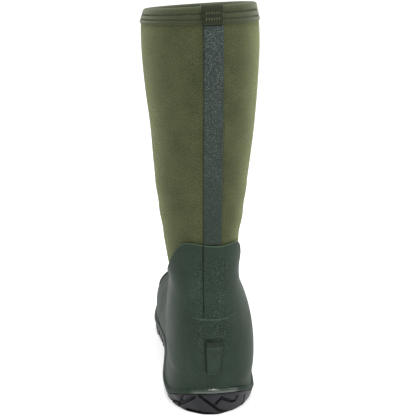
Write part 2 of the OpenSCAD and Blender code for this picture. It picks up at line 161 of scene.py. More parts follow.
def edge(q):
    return np.interp(np.mod(q, 360), np.arange(361), _ed)


def grid_at(a, b, o, dz=0.0, field=None):
    """Rows of points: place = a * rubber edge + b, offset o; field(x, z, i) adds to the offset."""
    a, b, o, dz = [np.broadcast_to(np.asarray(v, float), (len(b),))[:, None] * np.ones(NC)
                   for v in (a, b, o, dz)]
    t = np.where(a > 0, 9.5 * a, 0) + b
    for _ in range(5):
        q = colq(np.clip(t, 0, 30), o)
        t = np.clip(a * edge(q) + b, 0, 30)
    q = colq(t, o)
    P = pt(t, q, o)
    if field is not None:
        P = pt(t, q, o + field(np.broadcast_to(XB, t.shape), P[..., 2], P, t, q))
    P[..., 2] += dz
    return P


def backp(t, x, o, dz=0.0):
    """Point at the back of the boot, x to the side of its middle."""
    t, x, o = np.broadcast_arrays(np.asarray(t, float), np.asarray(x, float), np.asarray(o, float))
    r = row(t)
    w = np.where(x >= 0, r[..., 6], r[..., 5]) + o
    q = 270 + np.degrees(np.arcsin(np.sign(x) * np.minimum(1, np.abs(x) / w) ** (r[..., 7] / 2)))
    P = pt(t, q, o)
    P[..., 2] += dz
    return P


def smooth(x):
    x = np.clip(x, 0, 1)
    return x * x * (3 - 2 * x)


# ---------------------------------------------------------------- meshes
class Build:
    def __init__(self):
        self.v, self.f, self.uv, self.shade, self.peb = [], [], [], [], []

    def points(self, P, shade=1.0, peb=0.0):
        P = np.asarray(P, float).reshape(-1, 3)
        k = len(self.v)
        self.v.extend(P.tolist())
        self.shade.extend(np.broadcast_to(np.asarray(shade, float).reshape(-1), (len(P),)).tolist())
        self.peb.extend(np.broadcast_to(np.asarray(peb, float).reshape(-1), (len(P),)).tolist())
        return np.arange(k, k + len(P))

    def face(self, ids, uvs):
        ids = [int(i) for i in ids]
        keep = [k for k in range(len(ids)) if ids[k] != ids[k - 1]]
        if len(set(ids)) < 3 or len(keep) < 3:
            return
        self.f.append([ids[k] for k in keep])
        self.uv.append([uvs[k] for k in keep])

    def ring_grid(self, P, shade=1.0, peb=0.0, mid=None):
        """Rows of a closed ring, last column repeating the first; UV is length in mm."""
        n, m = P.shape[:2]
        sh = np.broadcast_to(shade, (n, m))[:, :-1]
        pb = np.broadcast_to(peb, (n, m))[:, :-1]
        ids = self.points(P[:, :-1], sh.reshape(-1), pb.reshape(-1)).reshape(n, m - 1)
        ids = np.concatenate([ids, ids[:, :1]], 1)
        d = np.linalg.norm(np.diff(P, axis=1), axis=2)
        u = np.concatenate([np.zeros((n, 1)), np.cumsum(d, 1)], 1)
        u -= u[:, (MIDC if mid is None else mid)][:, None]
        dv = np.linalg.norm(np.diff(P, axis=0), axis=2).mean(1)
        v = -np.concatenate([[0], np.cumsum(dv)])
        UV = np.stack([u, np.broadcast_to(v[:, None], u.shape)], -1)
        for i in range(n - 1):
            for j in range(m - 1):
                self.face([ids[i, j], ids[i, j + 1], ids[i + 1, j + 1], ids[i + 1, j]],
                          [UV[i, j], UV[i, j + 1], UV[i + 1, j + 1], UV[i + 1, j]])
        self.last = (ids, UV)
        return ids, UV

    def cap(self, ring, P):
        c = self.points(np.asarray(P).mean(0))[0]
        for j in range(len(ring) - 1):
            self.face([ring[j], ring[j + 1], c], [(0, 0), (1, 0), (0, 1)])

    def ngon(self, ring, P):
        self.face(ring, [tuple(p[:2]) for p in P])

    def patch(self, Pout, Pin, shade=1.0, peb=0.0):
        """Closed slab between two open grids of points."""
        n, m = Pout.shape[:2]
        a = self.points(Pout, np.broadcast_to(shade, (n, m)).reshape(-1),
                        np.broadcast_to(peb, (n, m)).reshape(-1)).reshape(n, m)
        b = self.points(Pin).reshape(n, m)
        du = np.concatenate([[0], np.cumsum(np.linalg.norm(np.diff(Pout, axis=1), axis=2).mean(0))])
        dv = -np.concatenate([[0], np.cumsum(np.linalg.norm(np.diff(Pout, axis=0), axis=2).mean(1))])
        du -= du[m // 2]
        uv = lambda i, j: (du[j], dv[i])
        for i in range(n - 1):
            for j in range(m - 1):
                q = [(i, j), (i, j + 1), (i + 1, j + 1), (i + 1, j)]
                self.face([a[k] for k in q], [uv(*k) for k in q])
                self.face([b[k] for k in q[::-1]], [uv(*k) for k in q[::-1]])
        loop = ([(0, j) for j in range(m)] + [(i, m - 1) for i in range(1, n)]
                + [(n - 1, j) for j in range(m - 2, -1, -1)] + [(i, 0) for i in range(n - 2, 0, -1)])
        for k in range(len(loop)):
            p, q = loop[k], loop[(k + 1) % len(loop)]
            self.face([a[q], a[p], b[p], b[q]], [uv(*q), uv(*p), uv(*p), uv(*q)])

    def make(self, name, material, smooth_angle=40, body=None, replaces=(), slot=None, blend=False):
        me = bpy.data.meshes.new(name)
        me.from_pydata([[c * 0.001 for c in p] for p in self.v], [], self.f)
        uv = me.uv_layers.new(name="UVMap")
        flat = np.array([c for f in self.uv for c in f], float).reshape(-1, 2) * 0.001
        uv.data.foreach_set("uv", flat.astype(np.float32).ravel())
        for key, vals in (("shade", self.shade), ("peb", self.peb)):
            at = me.attributes.new(key, "FLOAT", "POINT")
            at.data.foreach_set("value", np.array(vals, np.float32))
        bm = bmesh.new()
        bm.from_mesh(me)
        bmesh.ops.recalc_face_normals(bm, faces=bm.faces)
        vol = bm.calc_volume(signed=True)
        if vol < 0:
            bmesh.ops.reverse_faces(bm, faces=bm.faces)
        for f in bm.faces:
            f.smooth = True
        lim = math.radians(smooth_angle)
        for e in bm.edges:
            if len(e.link_faces) == 2 and e.calc_face_angle(0) > lim:
                e.smooth = False
        bm.to_mesh(me)
        bm.free()
        ob = bpy.data.objects.new(name, me)
        bpy.context.scene.collection.objects.link(ob)
        me.materials.append(material)
        if replaces:
            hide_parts(*replaces)
        if blend:
            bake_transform(ob)
        elif body:
            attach(ob, body)
        return ob


# ---------------------------------------------------------------- materials
class Mat:
    def __init__(self, name, rough=0.6, spec=0.5, sheen=0.0, sheen_rough=0.5, sheen_tint=(1, 1, 1),
                 metallic=0.0, coat=0.0, coat_rough=0.3):
        self.m = bpy.data.materials.new(name)
        self.m.use_nodes = True
        self.t = self.m.node_tree
        self.t.nodes.clear()
        self.out = self.n("ShaderNodeOutputMaterial")
        self.b = self.n("ShaderNodeBsdfPrincipled")
        self.l(self.b.outputs[0], self.out.inputs[0])
        self.b.inputs["Roughness"].default_value = rough
        self.b.inputs["Specular IOR Level"].default_value = spec
        self.b.inputs["Metallic"].default_value = metallic
        self.b.inputs["Sheen Weight"].default_value = sheen
        self.b.inputs["Sheen Roughness"].default_value = sheen_rough
        self.b.inputs["Sheen Tint"].default_value = (*sheen_tint, 1)
        self.b.inputs["Coat Weight"].default_value = coat
        self.b.inputs["Coat Roughness"].default_value = coat_rough
        self.nrm = None

    def n(self, kind, **kw):
        node = self.t.nodes.new(kind)
        for k, v in kw.items():
            setattr(node, k, v)
        return node

    def l(self, a, b):
        self.t.links.new(a, b)

    def uv(self, sx=1000.0, sy=1000.0):
        """UV in mm (the map itself is in metres), scaled again by sx, sy per mm."""
        u = self.n("ShaderNodeUVMap", uv_map="UVMap")
        m = self.n("ShaderNodeMapping")
        m.inputs["Scale"].default_value = (sx, sy, 1)
        self.l(u.outputs[0], m.inputs[0])
        return m.outputs[0]

    def obj(self, s=1000.0, sz=None):
        c = self.n("ShaderNodeTexCoord")
        m = self.n("ShaderNodeMapping")
        m.inputs["Scale"].default_value = (s, s, sz or s)
        self.l(c.outputs["Object"], m.inputs[0])
        return m.outputs[0]

    def math(self, op, a, b=None, c=None):
        x = self.n("ShaderNodeMath", operation=op)
        for i, v in enumerate((a, b, c)):
            if v is None:
                continue
            if isinstance(v, (int, float)):
                x.inputs[i].default_value = v
            else:
                self.l(v, x.inputs[i])
        return x.outputs[0]

    def noise(self, vec, scale, detail=3.0, rough=0.55, dist=0.0):
        x = self.n("ShaderNodeTexNoise")
        self.l(vec, x.inputs["Vector"])
        x.inputs["Scale"].default_value = scale
        x.inputs["Detail"].default_value = detail
        x.inputs["Roughness"].default_value = rough
        x.inputs["Distortion"].default_value = dist
        return x.outputs[0]

    def voronoi(self, vec, scale, feature="F1", rand=1.0):
        x = self.n("ShaderNodeTexVoronoi", feature=feature)
        self.l(vec, x.inputs["Vector"])
        x.inputs["Scale"].default_value = scale
        x.inputs["Randomness"].default_value = rand
        return x.outputs[0]

    def ramp(self, fac, stops):
        x = self.n("ShaderNodeValToRGB")
        el = x.color_ramp.elements
        while len(el) > 1:
            el.remove(el[-1])
        el[0].position, el[0].color = stops[0][0], (*stops[0][1], 1)
        for p, c in stops[1:]:
            e = el.new(p)
            e.color = (*c, 1)
        self.l(fac, x.inputs[0])
        return x.outputs[0]

    def rangef(self, v, a, b, c, d):
        x = self.n("ShaderNodeMapRange")
        self.l(v, x.inputs[0])
        for i, k in enumerate((a, b, c, d)):
            x.inputs[i + 1].default_value = k
        return x.outputs[0]

    def mix(self, fac, a, b, kind="MIX"):
        x = self.n("ShaderNodeMix", data_type="RGBA", blend_type=kind)
        if isinstance(fac, (int, float)):
            x.inputs[0].default_value = fac
        else:
            self.l(fac, x.inputs[0])
        for i, v in ((6, a), (7, b)):
            if isinstance(v, tuple):
                x.inputs[i].default_value = (*v, 1)
            else:
                self.l(v, x.inputs[i])
        return x.outputs[2]

    def attr(self, name):
        x = self.n("ShaderNodeAttribute", attribute_name=name)
        return x.outputs["Fac"]

    def gain(self, colour, value):
        """Colour times a single number."""
        c = self.n("ShaderNodeCombineColor")
        for i in range(3):
            self.l(value, c.inputs[i])
        return self.mix(1.0, colour, c.outputs[0], "MULTIPLY")

    def bump(self, height, strength, dist_mm):
        x = self.n("ShaderNodeBump")
        x.inputs["Strength"].default_value = strength
        x.inputs["Distance"].default_value = dist_mm * 0.001
        self.l(height, x.inputs["Height"])
        if self.nrm is not None:
            self.l(self.nrm, x.inputs["Normal"])
        self.nrm = x.outputs[0]

    def done(self, colour=None, rough=None):
        if colour is not None:
            self.l(colour, self.b.inputs["Base Color"])
        if rough is not None:
            self.l(rough, self.b.inputs["Roughness"])
        if self.nrm is not None:
            self.l(self.nrm, self.b.inputs["Normal"])
        return self.m


def lin(r, g, b):
    f = lambda c: (c / 255 / 12.92) if c / 255 <= 0.04045 else ((c / 255 + 0.055) / 1.055) ** 2.4
    return (f(r), f(g), f(b))


def knit(m, vec, wale, course):
    """Height of a jersey knit: chevron loops in columns; returns 0..1."""
    s = m.n("ShaderNodeSeparateXYZ")
    m.l(vec, s.inputs[0])
    u = m.math("DIVIDE", s.outputs[0], wale)
    v = m.math("DIVIDE", s.outputs[1], course)
    tri = m.math("PINGPONG", u, 0.5)
    ph = m.math("MULTIPLY_ADD", tri, 1.3, v)
    yarn = m.math("SINE", m.math("MULTIPLY", ph, 2 * math.pi))
    col = m.math("SINE", m.math("MULTIPLY", tri, 2 * math.pi))
    h = m.math("MULTIPLY_ADD", yarn, 0.3, m.math("MULTIPLY", col, 0.35))
    return m.math("ADD", h, 0.5)


def fabric(name, dark, light, wale=0.85, course=0.75, sheen=0.35, bump=0.5, shade=True, tint=(0.72, 0.8, 0.4)):
    m = Mat(name, rough=0.88, spec=0.25, sheen=sheen, sheen_rough=0.4, sheen_tint=tint)
    uv = m.uv()
    h = knit(m, uv, wale, course)
    fuzz = m.noise(uv, 2.6, 3.0, 0.7)
    blot = m.noise(uv, 0.035, 3.0, 0.6)
    heather = m.noise(uv, 0.75, 2.0, 0.6)
    fac = m.math("MULTIPLY_ADD", heather, 0.55, m.math("MULTIPLY", blot, 0.45))
    col = m.ramp(fac, [(0.38, dark), (0.62, light)])
    # painted shade: darker in the hollows of the knit
    col = m.gain(col, m.rangef(h, 0.0, 1.0, 0.84, 1.1))
    col = m.gain(col, m.rangef(heather, 0.3, 0.7, 0.82, 1.18))
    if shade:
        col = m.gain(col, m.attr("shade"))
    m.bump(h, bump, 0.28)
    m.bump(fuzz, 0.35, 0.22)
    return m.done(col, m.rangef(heather, 0.3, 0.7, 0.82, 0.95))


def webbing(name, dark, light, rib=0.9, across=1.5):
    """Knitted tape: fine ribs along it, small crosswise yarns."""
    m = Mat(name, rough=0.85, spec=0.25, sheen=0.3, sheen_rough=0.45, sheen_tint=(0.8, 0.85, 0.65))
    uv = m.uv()
    s = m.n("ShaderNodeSeparateXYZ")
    m.l(uv, s.inputs[0])
    a = m.math("SINE", m.math("MULTIPLY", s.outputs[1], 2 * math.pi / rib))
    b = m.math("SINE", m.math("MULTIPLY", s.outputs[0], 2 * math.pi / across))
    h = m.math("ADD", m.math("MULTIPLY_ADD", a, 0.26, m.math("MULTIPLY", b, 0.2)), 0.5)
    n1 = m.noise(uv, 0.5, 3.0, 0.65)
    n2 = m.noise(uv, 3.0, 2.0, 0.6)
    col = m.ramp(n1, [(0.3, dark), (0.7, light)])
    # painted shade: darker in the hollows between the ribs
    col = m.gain(col, m.rangef(h, 0.0, 1.0, 0.8, 1.12))
    col = m.gain(col, m.attr("shade"))
    m.bump(h, 0.55, 0.3)
    m.bump(n2, 0.3, 0.2)
    return m.done(col, m.rangef(n1, 0.3, 0.7, 0.8, 0.92))


def moulded(name, dark, light, rough=(0.4, 0.55), grain=1.1, grain_bump=0.25, pebble=False, spec=0.5,
            scuff=None, attribute=True, gloss=False):
    """Moulded rubber: low mottling, fine grain, scuffs; pebble area from the peb attribute, with painted glints as
    pale flecks on the pebbles.
    """
    m = Mat(name, rough=0.45, spec=spec)
    p = m.obj(1000.0)
    blot = m.noise(p, 0.03, 4.0, 0.6)
    fine = m.noise(p, grain, 3.0, 0.6)
    col = m.ramp(m.math("MULTIPLY_ADD", fine, 0.35, m.math("MULTIPLY", blot, 0.65)),
                 [(0.33, dark), (0.67, light)])
    rg = m.rangef(blot, 0.3, 0.7, rough[0], rough[1])
    if pebble:
        peb = m.attr("peb")
        cell = m.voronoi(p, 0.95)
        dot = m.rangef(cell, 0.16, 0.46, 1.0, 0.0)
        mask = m.math("MULTIPLY", dot, peb)
        pick = m.rangef(m.noise(p, 0.8, 2.0, 0.5), 0.42, 0.52, 0.0, 1.0)
        painted_glints = m.math("MULTIPLY", mask, pick)
        dk = m.math("MULTIPLY", m.rangef(m.noise(p, 0.62, 2.0, 0.5), 0.54, 0.66, 0.0, 0.5), peb)
        col = m.mix(dk, col, tuple(c_ * 0.35 for c_ in dark))
        # painted glints: pale flecks on the pebbles
        col = m.mix(m.math("MULTIPLY", painted_glints, 0.6), col, tuple(min(1, c * 3.0 + 0.06) for c in light))
        m.bump(mask, 0.9, 0.35)
    if scuff:
        sc = m.rangef(m.noise(m.obj(1000.0, 2600.0), 0.09, 5.0, 0.7, 0.6), 0.62, 0.74, 0.0, 1.0)
        col = m.mix(m.math("MULTIPLY", sc, 0.35), col, scuff)
        rg = m.math("MULTIPLY_ADD", sc, 0.12, rg)
    if attribute:
        col = m.gain(col, m.attr("shade"))
    if gloss:
        g = m.attr("peb")
        m.l(m.math("MULTIPLY_ADD", g, spec - 0.08, 0.08), m.b.inputs["Specular IOR Level"])
        rg = m.math("MULTIPLY_ADD", g, -0.3, m.math("ADD", rg, 0.3))
    m.bump(fine, grain_bump, 0.12)
    m.bump(m.noise(p, 0.12, 2.0, 0.5), 0.25, 0.5)
    return m.done(col, rg)


olive = fabric("olive_knit", lin(52, 57, 34), lin(73, 77, 49), sheen=0.5)
collar_m = webbing("collar_tape", lin(49, 55, 35), lin(65, 72, 47))
roll_m = webbing("collar_cord_tape", lin(44, 50, 32), lin(60, 66, 44), rib=1.4, across=0.9)
tab_m = webbing("tab_tape", lin(27, 31, 18), lin(41, 45, 28), rib=1.1, across=1.1)
thread_m = webbing("thread_light", lin(84, 88, 60), lin(114, 118, 86), rib=0.5, across=0.6)
thread_d = webbing("thread_dark", lin(52, 58, 38), lin(84, 90, 62), rib=0.5, across=0.6)
green = moulded("green_rubber", lin(34, 46, 37), lin(47, 60, 50), rough=(0.45, 0.58), pebble=True, spec=0.08,
                scuff=lin(56, 68, 58))
bead_m = moulded("green_rubber_bead", lin(26, 38, 30), lin(38, 52, 42), rough=(0.16, 0.26), spec=0.85,
                 grain_bump=0.12, gloss=True)
green_dark = moulded("green_rubber_tab", lin(37, 49, 40), lin(51, 64, 54), rough=(0.5, 0.62), pebble=True, spec=0.1)
black = moulded("black_rubber", lin(18, 18, 21), lin(38, 39, 44), rough=(0.4, 0.58), grain=0.8, spec=0.2,
                grain_bump=0.3, scuff=lin(76, 77, 80))


def strip_material():
    m = Mat("strip_rubber", rough=0.42, spec=0.25)
    p = m.uv()
    s = m.n("ShaderNodeSeparateXYZ")
    m.l(p, s.inputs[0])
    top = m.rangef(s.outputs[1], -190.0, -5.0, 0.0, 1.0)
    blot = m.noise(p, 0.05, 3.0, 0.6)
    base = m.mix(top, m.ramp(blot, [(0.3, lin(23, 38, 29)), (0.7, lin(32, 47, 37))]),
                 m.ramp(blot, [(0.3, lin(40, 50, 47)), (0.7, lin(50, 61, 56))]))
    cell = m.voronoi(p, 0.9)
    dot = m.rangef(cell, 0.16, 0.46, 1.0, 0.0)
    pick = m.rangef(m.noise(p, 0.7, 2.0, 0.5), 0.44, 0.54, 0.0, 1.0)
    keep = m.math("MULTIPLY_ADD", top, 0.75, 0.2)
    mask = m.math("MULTIPLY", m.math("MULTIPLY", dot, pick), keep)
    darkm = m.math("MULTIPLY", m.rangef(m.noise(p, 0.5, 3.0, 0.6), 0.5, 0.62, 0.0, 1.0), keep)
    col = m.mix(m.math("MULTIPLY", darkm, 0.7), base, lin(16, 26, 24))
    col = m.mix(m.math("MULTIPLY", mask, 0.85), col, lin(126, 136, 130))
    col = m.gain(col, m.attr("shade"))
    m.bump(dot, 0.5, 0.28)
    m.bump(m.noise(p, 1.4, 3.0, 0.6), 0.3, 0.15)
    return m.done(col, m.rangef(blot, 0.3, 0.7, 0.36, 0.48))


strip_m = strip_material()


def fleece_material(name, dark, light, attribute=True, uv=True):
    m = Mat(name, rough=0.95, spec=0.15, sheen=0.5, sheen_rough=0.5, sheen_tint=(0.8, 0.8, 0.7))
    p = m.uv() if uv else m.obj(1000.0)
    a = m.noise(p, 0.9, 4.0, 0.75, 0.8)
    b = m.noise(p, 0.12, 3.0, 0.6)
    col = m.ramp(m.math("MULTIPLY_ADD", a, 0.6, m.math("MULTIPLY", b, 0.4)), [(0.3, dark), (0.7, light)])
    if attribute:
        col = m.gain(col, m.attr("shade"))
    m.bump(a, 0.9, 0.7)
    return m.done(col)


fleece = fleece_material("fleece", lin(36, 40, 29), lin(56, 60, 45))
foam_black = fleece_material("neoprene_foam", lin(20, 20, 21), lin(34, 34, 35))
insulation_m = fleece_material("needled_insulation", lin(186, 186, 178), lin(216, 214, 206), False, False)


def foam_material(name, dark, light, scale=1.6, rough=0.8, bump=0.4):
    m = Mat(name, rough=rough, spec=0.3)
    p = m.obj(1000.0)
    c = m.voronoi(p, scale)
    b = m.noise(p, 0.05, 3.0, 0.6)
    col = m.ramp(m.math("MULTIPLY_ADD", c, 0.4, m.math("MULTIPLY", b, 0.6)), [(0.25, dark), (0.7, light)])
    m.bump(c, bump, 0.2)
    return m.done(col, m.rangef(b, 0.3, 0.7, rough - 0.08, rough + 0.08))


def steel_material():
    m = Mat("steel", rough=0.34, metallic=1.0)
    c = m.n("ShaderNodeTexCoord")
    mp = m.n("ShaderNodeMapping")
    mp.inputs["Scale"].default_value = (3000, 120, 3000)
    m.l(c.outputs["Object"], mp.inputs[0])
    n = m.noise(mp.outputs[0], 1.0, 4.0, 0.6)
    col = m.ramp(n, [(0.3, lin(160, 161, 164)), (0.7, lin(196, 197, 200))])
    m.bump(n, 0.15, 0.05)
    return m.done(col, m.rangef(n, 0.3, 0.7, 0.26, 0.42))


def board_material(name, dark, light):
    m = Mat(name, rough=0.85, spec=0.3)
    p = m.obj(1000.0)
    f = m.noise(p, 0.5, 5.0, 0.75, 1.5)
    b = m.noise(p, 0.06, 2.0, 0.5)
    col = m.ramp(m.math("MULTIPLY_ADD", f, 0.5, m.math("MULTIPLY", b, 0.5)), [(0.3, dark), (0.7, light)])
    m.bump(f, 0.35, 0.15)
    return m.done(col)


eva = foam_material("eva_foam", lin(98, 98, 96), lin(122, 121, 118))
steel = steel_material()
board = board_material("fibre_board", lin(150, 128, 98), lin(182, 160, 128))
stiff = board_material("stiffener_sheet", lin(186, 176, 154), lin(210, 202, 184))
for node, mm in (("midsole", eva), ("shank", steel), ("insole_board", board), ("toe_stiffener", stiff),
                 ("heel_stiffener", stiff), ("toe_foam", insulation_m)):
    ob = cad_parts[node]
    ob.data.materials.clear()
    ob.data.materials.append(mm)


# ---------------------------------------------------------------- soft layers, over the ankle
def undulate(x, z, P, t, q):
    """Slow unevenness of the soft wall, the same for every layer."""
    a = np.radians(q)
    w = 0.35 * np.sin(2 * a + z * 0.031) + 0.28 * np.sin(3 * a - z * 0.047 + 1.1)
    crease = 0.35 * np.sin(z * 0.21 + 1.6 * np.sin(a + 0.4)) * smooth(1 - np.abs(z - 195) / 55)
    back = 1 - 0.75 * np.exp(-(x / 13.0) ** 2)
    return (w * smooth(t / 1.5) + crease) * back * smooth((13.5 - t) / 3)


def soft_wall(name, t_end, n, o_out, o_in, material, replaces, slot, t_top=0.03, toe=False, n_in=None):
    ts = t_top + (t_end - t_top) * np.linspace(0, 1, n)
    b = Build()
    oo = np.array([o_out(t) for t in ts])
    ii = np.array([o_in(t) for t in ts])
    A = grid_at(np.zeros(n), ts, oo, 0, undulate)
    B = grid_at(np.zeros(n), ts[::-1], ii[::-1], 0, undulate)
    P = np.concatenate([A, B], 0)
    if not toe:
        P = np.concatenate([P, P[:1]], 0)
        ids, UV = b.ring_grid(P)
        # join the last ring to the first one exactly
        last, first = ids[-1], ids[0]
        remap = {int(last[j]): int(first[j]) for j in range(len(last))}
        b.f = [[remap.get(i, i) for i in f] for f in b.f]
        used = sorted({i for f in b.f for i in f})
        new = {o: k for k, o in enumerate(used)}
        b.v = [b.v[i] for i in used]
        b.shade = [b.shade[i] for i in used]
        b.peb = [b.peb[i] for i in used]
        b.f = [[new[i] for i in f] for f in b.f]
    else:
        # outer and inner sheet meet at the toe through the sheet itself: roll over at the top
        P = np.concatenate([A[::-1], B[::-1]], 0)
        ids, UV = b.ring_grid(P)
        b.cap(ids[0], P[0])
        b.cap(ids[-1], P[-1])
    return b.make(name, material, 60, replaces=replaces, slot=slot, blend=True)


def deep(t):
    return -5.5 - 2.1 * min(1, max(0, (t - 12.5) / 2))


soft_wall("shaft_face_fabric", 12.5, 130, lambda t: 0.0, lambda t: -0.9, olive,
          ["face_fabric_shaft", "face_fabric_ankle"], "olive_fabric")
soft_wall("neoprene_core", 28.6, 110, lambda t: -1.2, lambda t: -5.2, foam_black,
          ["neoprene_shaft", "neoprene_foot"], "neoprene", toe=True)
soft_wall("lining_sock", 27.2, 150, lambda t: deep(t), lambda t: deep(t) - 1.2, fleece,
          ["lining_shaft", "lining_foot"], "fleece", toe=True)


# ---------------------------------------------------------------- strips down the back
def back_strip(name, t0, t1, width, path, n, material, replaces, slot, shift=0.0, blend=False, body=None,
               ends=True, shade=None):
    """A strip with rounded edges: path(v in 0..1) gives inner and outer offset."""
    ts = np.linspace(t0, t1, n)
    half = width / 2
    xs = np.concatenate([[-1, -0.985, -0.95, -0.9, -0.82], np.linspace(-0.7, 0.7, 15), [0.82, 0.9, 0.95, 0.985, 1]])
    fall = np.array([0.75, 0.4, 0.16, 0.05, 0] + [0] * 15 + [0, 0.05, 0.16, 0.4, 0.75])
    A, B = [], []
    for k, t in enumerate(ts):
        oi, oo = path(k / (n - 1))
        x = shift * (1 - k / (n - 1)) + xs * half
        und = undulate(x, 389 - 18 * t, None, t, 270 + x)
        A.append(backp(t, x, oo - fall * (oo - oi) + und))
        B.append(backp(t, x, oi + und))
    b = Build()
    # painted shade along the strip's edges
    sh = 1.0 if shade is None else np.broadcast_to(np.interp(np.abs(xs), [0, 0.9, 1], [1, 1, shade]), (n, len(xs)))
    b.patch(np.array(A), np.array(B), shade=sh)
    return b.make(name, material, 50, replaces=replaces, slot=slot, blend=blend, body=body)


back_strip("spine_strip_cover", 0.97, 8.0, 17.8, lambda v: (0.15, 1.75), 130, strip_m,
           ["spine_strip", "spine_strip_foot"], "strip_rubber", shift=-0.9, blend=True, shade=0.45)
back_strip("inside_seam_tape", 0.6, 7.4, 12, lambda v: (-7.7, -7.1), 70, roll_m,
           ["seam_tape"], "tape", blend=True)


# ---------------------------------------------------------------- rubber foot shell
def fat(t):
    return 2.2 + 1.2 * np.clip((t - 9.5) / 2.5, 0, 1)


def shell_field(x, z, P, t, q):
    panel = smooth((10.35 - x) / 0.3) * smooth((x + 8.8) / 0.3) * smooth((z - 98.5) / 1.2)
    g = -0.75 * np.exp(-((x + 9.2) / 0.42) ** 2) * smooth((z - 98) / 2)
    g += -0.2 * np.exp(-((x - 10.75) / 0.42) ** 2) * smooth((z - 98) / 2)
    return 0.55 * panel + g


def rubber():
    rows = []                        # a, b, offset kind
    toe = np.concatenate([[30, 29.85, 29.6], np.arange(29.3, 16.2, -0.22), np.arange(16.1, 12.5, -0.12), [12.5]])
    for t in toe:
        rows.append((0.0, t, 0.1 + fat(t)))
    for f in np.linspace(0, 1, 44)[1:-1]:
        # between 12.5 and just below the edge
        rows.append((f, 12.5 * (1 - f) + 0.075 * f, None))
    top = [(0.075, 2.25), (0.05, 2.35), (0.03, 2.6), (0.014, 2.72), (0.004, 2.6), (-0.004, 2.25), (-0.008, 1.75),
           (-0.004, 1.2), (0.01, 0.8), (0.04, 0.6)]
    for d, o in top:
        rows.append((1.0, d, o))
    n_out = len(rows)
    for f in np.linspace(1, 0, 14)[1:]:
        rows.append((f, 12.5 * (1 - f) + 0.04 * f, 0.55))
    for t in np.arange(13.5, 28.6, 1.0):
        rows.append((0.0, t, 0.1))
    rows.append((0.0, 29.2, 0.1))
    rows.append((0.0, 29.7, 0.1))
    a = np.array([r[0] for r in rows])
    bb = np.array([r[1] for r in rows])
    o = np.zeros(len(rows))
    for i, r in enumerate(rows):
        if r[2] is None:
            tt = r[0] * 8.6 + r[1]
            o[i] = 0.1 + fat(tt)
        else:
            o[i] = r[2]
    outer = np.zeros(len(rows))
    outer[:n_out - 6] = 1

    def field(x, z, P, t, q):
        return shell_field(x, z, P, t, q) * outer[:, None]
    P = grid_at(a, bb, o, 0, field)
    x, z, y = P[..., 0] - OX, P[..., 2], P[..., 1] - OY
    xb = np.broadcast_to(XB, x.shape)
    sh = np.ones(x.shape)
    # painted shade in the grooves along both sides of the raised back panel
    line = np.exp(-((xb + 9.2) / 0.45) ** 2) * smooth((z - 98) / 3)
    line2 = np.exp(-((xb - 10.7) / 0.5) ** 2) * smooth((z - 98) / 3) * smooth((150 - z) / 30)
    sh -= (0.6 * line + 0.12 * line2) * outer[:, None]
    # painted highlight: the lip is painted paler along the top edge of the rubber
    for i in range(n_out - 8, n_out - 4):
        sh[i] *= 2.0
    back = smooth((40 - y) / 20)
    # painted shadow on the shell round the kick tab, stronger on its left side
    ft = np.clip((82 - z) / 33.0, 0, 1)
    side = np.abs(xb - 0.5 + 1.5 * ft) - (8.6 - 2.4 * ft)
    tab_shadow = np.exp(-(np.maximum(side, 0) / 1.5) ** 2) * smooth((81 - z) / 2) * smooth((z - 46) / 2.5) * back
    sh *= 1 - np.where(xb < -0.7, 0.6, 0.35) * tab_shadow
    peb = (np.exp(-(((x + 13) / 5.5) ** 2)) + np.exp(-(((x - 6) / 9) ** 2))) * back
    peb = np.clip(peb, 0, 1) * smooth((z - 52) / 30) * smooth((168 - z) / 26)
    peb = 0.18 + 0.82 * peb
    b = Build()
    ids, UV = b.ring_grid(P, shade=sh, peb=peb * outer[:, None])
    b.cap(ids[0], P[0])
    b.cap(ids[-1], P[-1])
    return b.make("rubber_upper", green, 42, body="foot", replaces=["rubber_shell"], slot="green_rubber")


rubber()


def eased_patch(name, t0, t1, q0, q1, low, high, nt, nq, ease_t, ease_q, material, replaces, slot, peb=0.18,
                extra=None, edge_shade=0.0):
    """A raised area on the rubber that eases into it at its edges."""
    u = np.linspace(0, 1, nt)
    v = np.linspace(0, 1, nq)
    t = (t0 + (t1 - t0) * u)[:, None] * np.ones(nq)
    q = (q0 + (q1 - q0) * v)[None, :] * np.ones((nt, 1))
    eu = smooth(np.minimum(u / ease_t[0], (1 - u) / ease_t[1]))[:, None]
    ev = smooth(np.minimum(v / ease_q, (1 - v) / ease_q))[None, :]
    o = low + (high - low) * eu * ev
    if extra is not None:
        o = o + extra(t, q)
    A = pt(t, q, o)
    B = pt(t, q, np.full_like(t, low - 1.2))
    x, z, y = A[..., 0] - OX, A[..., 2], A[..., 1] - OY
    back = smooth((40 - y) / 20)
    pb = (np.exp(-(((x + 13) / 5.5) ** 2)) + np.exp(-(((x - 6) / 9) ** 2))) * back
    pb = peb + (1 - peb) * np.clip(pb, 0, 1) * smooth((z - 52) / 30)
    sh = np.ones(x.shape)
    if edge_shade:
        # painted shadow on the shell round the kick tab, stronger on its left side
        ft = np.clip((82 - z) / 33.0, 0, 1)
        side = np.abs(x - 0.5 + 1.5 * ft) - (8.6 - 2.4 * ft)
        tab_shadow = np.exp(-(np.maximum(side, 0) / 1.5) ** 2) * smooth((81 - z) / 2) * smooth((z - 46) / 2.5)
        sh = sh * (1 - np.where(x < -0.7, 0.6, 0.35) * tab_shadow)
        # painted highlight along the top edge of the patch
        sh = sh * (1 + edge_shade * smooth(1 - np.abs(u[:, None] - 0.008) / 0.012) * ev)
    b = Build()
    b.patch(A, B, shade=sh, peb=pb)
    return b.make(name, material, 60, body="foot", replaces=replaces, slot=slot)


eased_patch("heel_guard", 11.48, 14.6, 228, 312, 3.38, 4.15, 150, 110, (0.012, 0.25), 0.3, green,
            ["heel_overlay"], "green_rubber", edge_shade=0.9)
eased_patch("toe_guard", 24.6, 29.75, 24, 156, 3.3, 4.6, 90, 100, (0.05, 0.16), 0.05, green,
            ["toe_cap"], "green_rubber", peb=0.3)


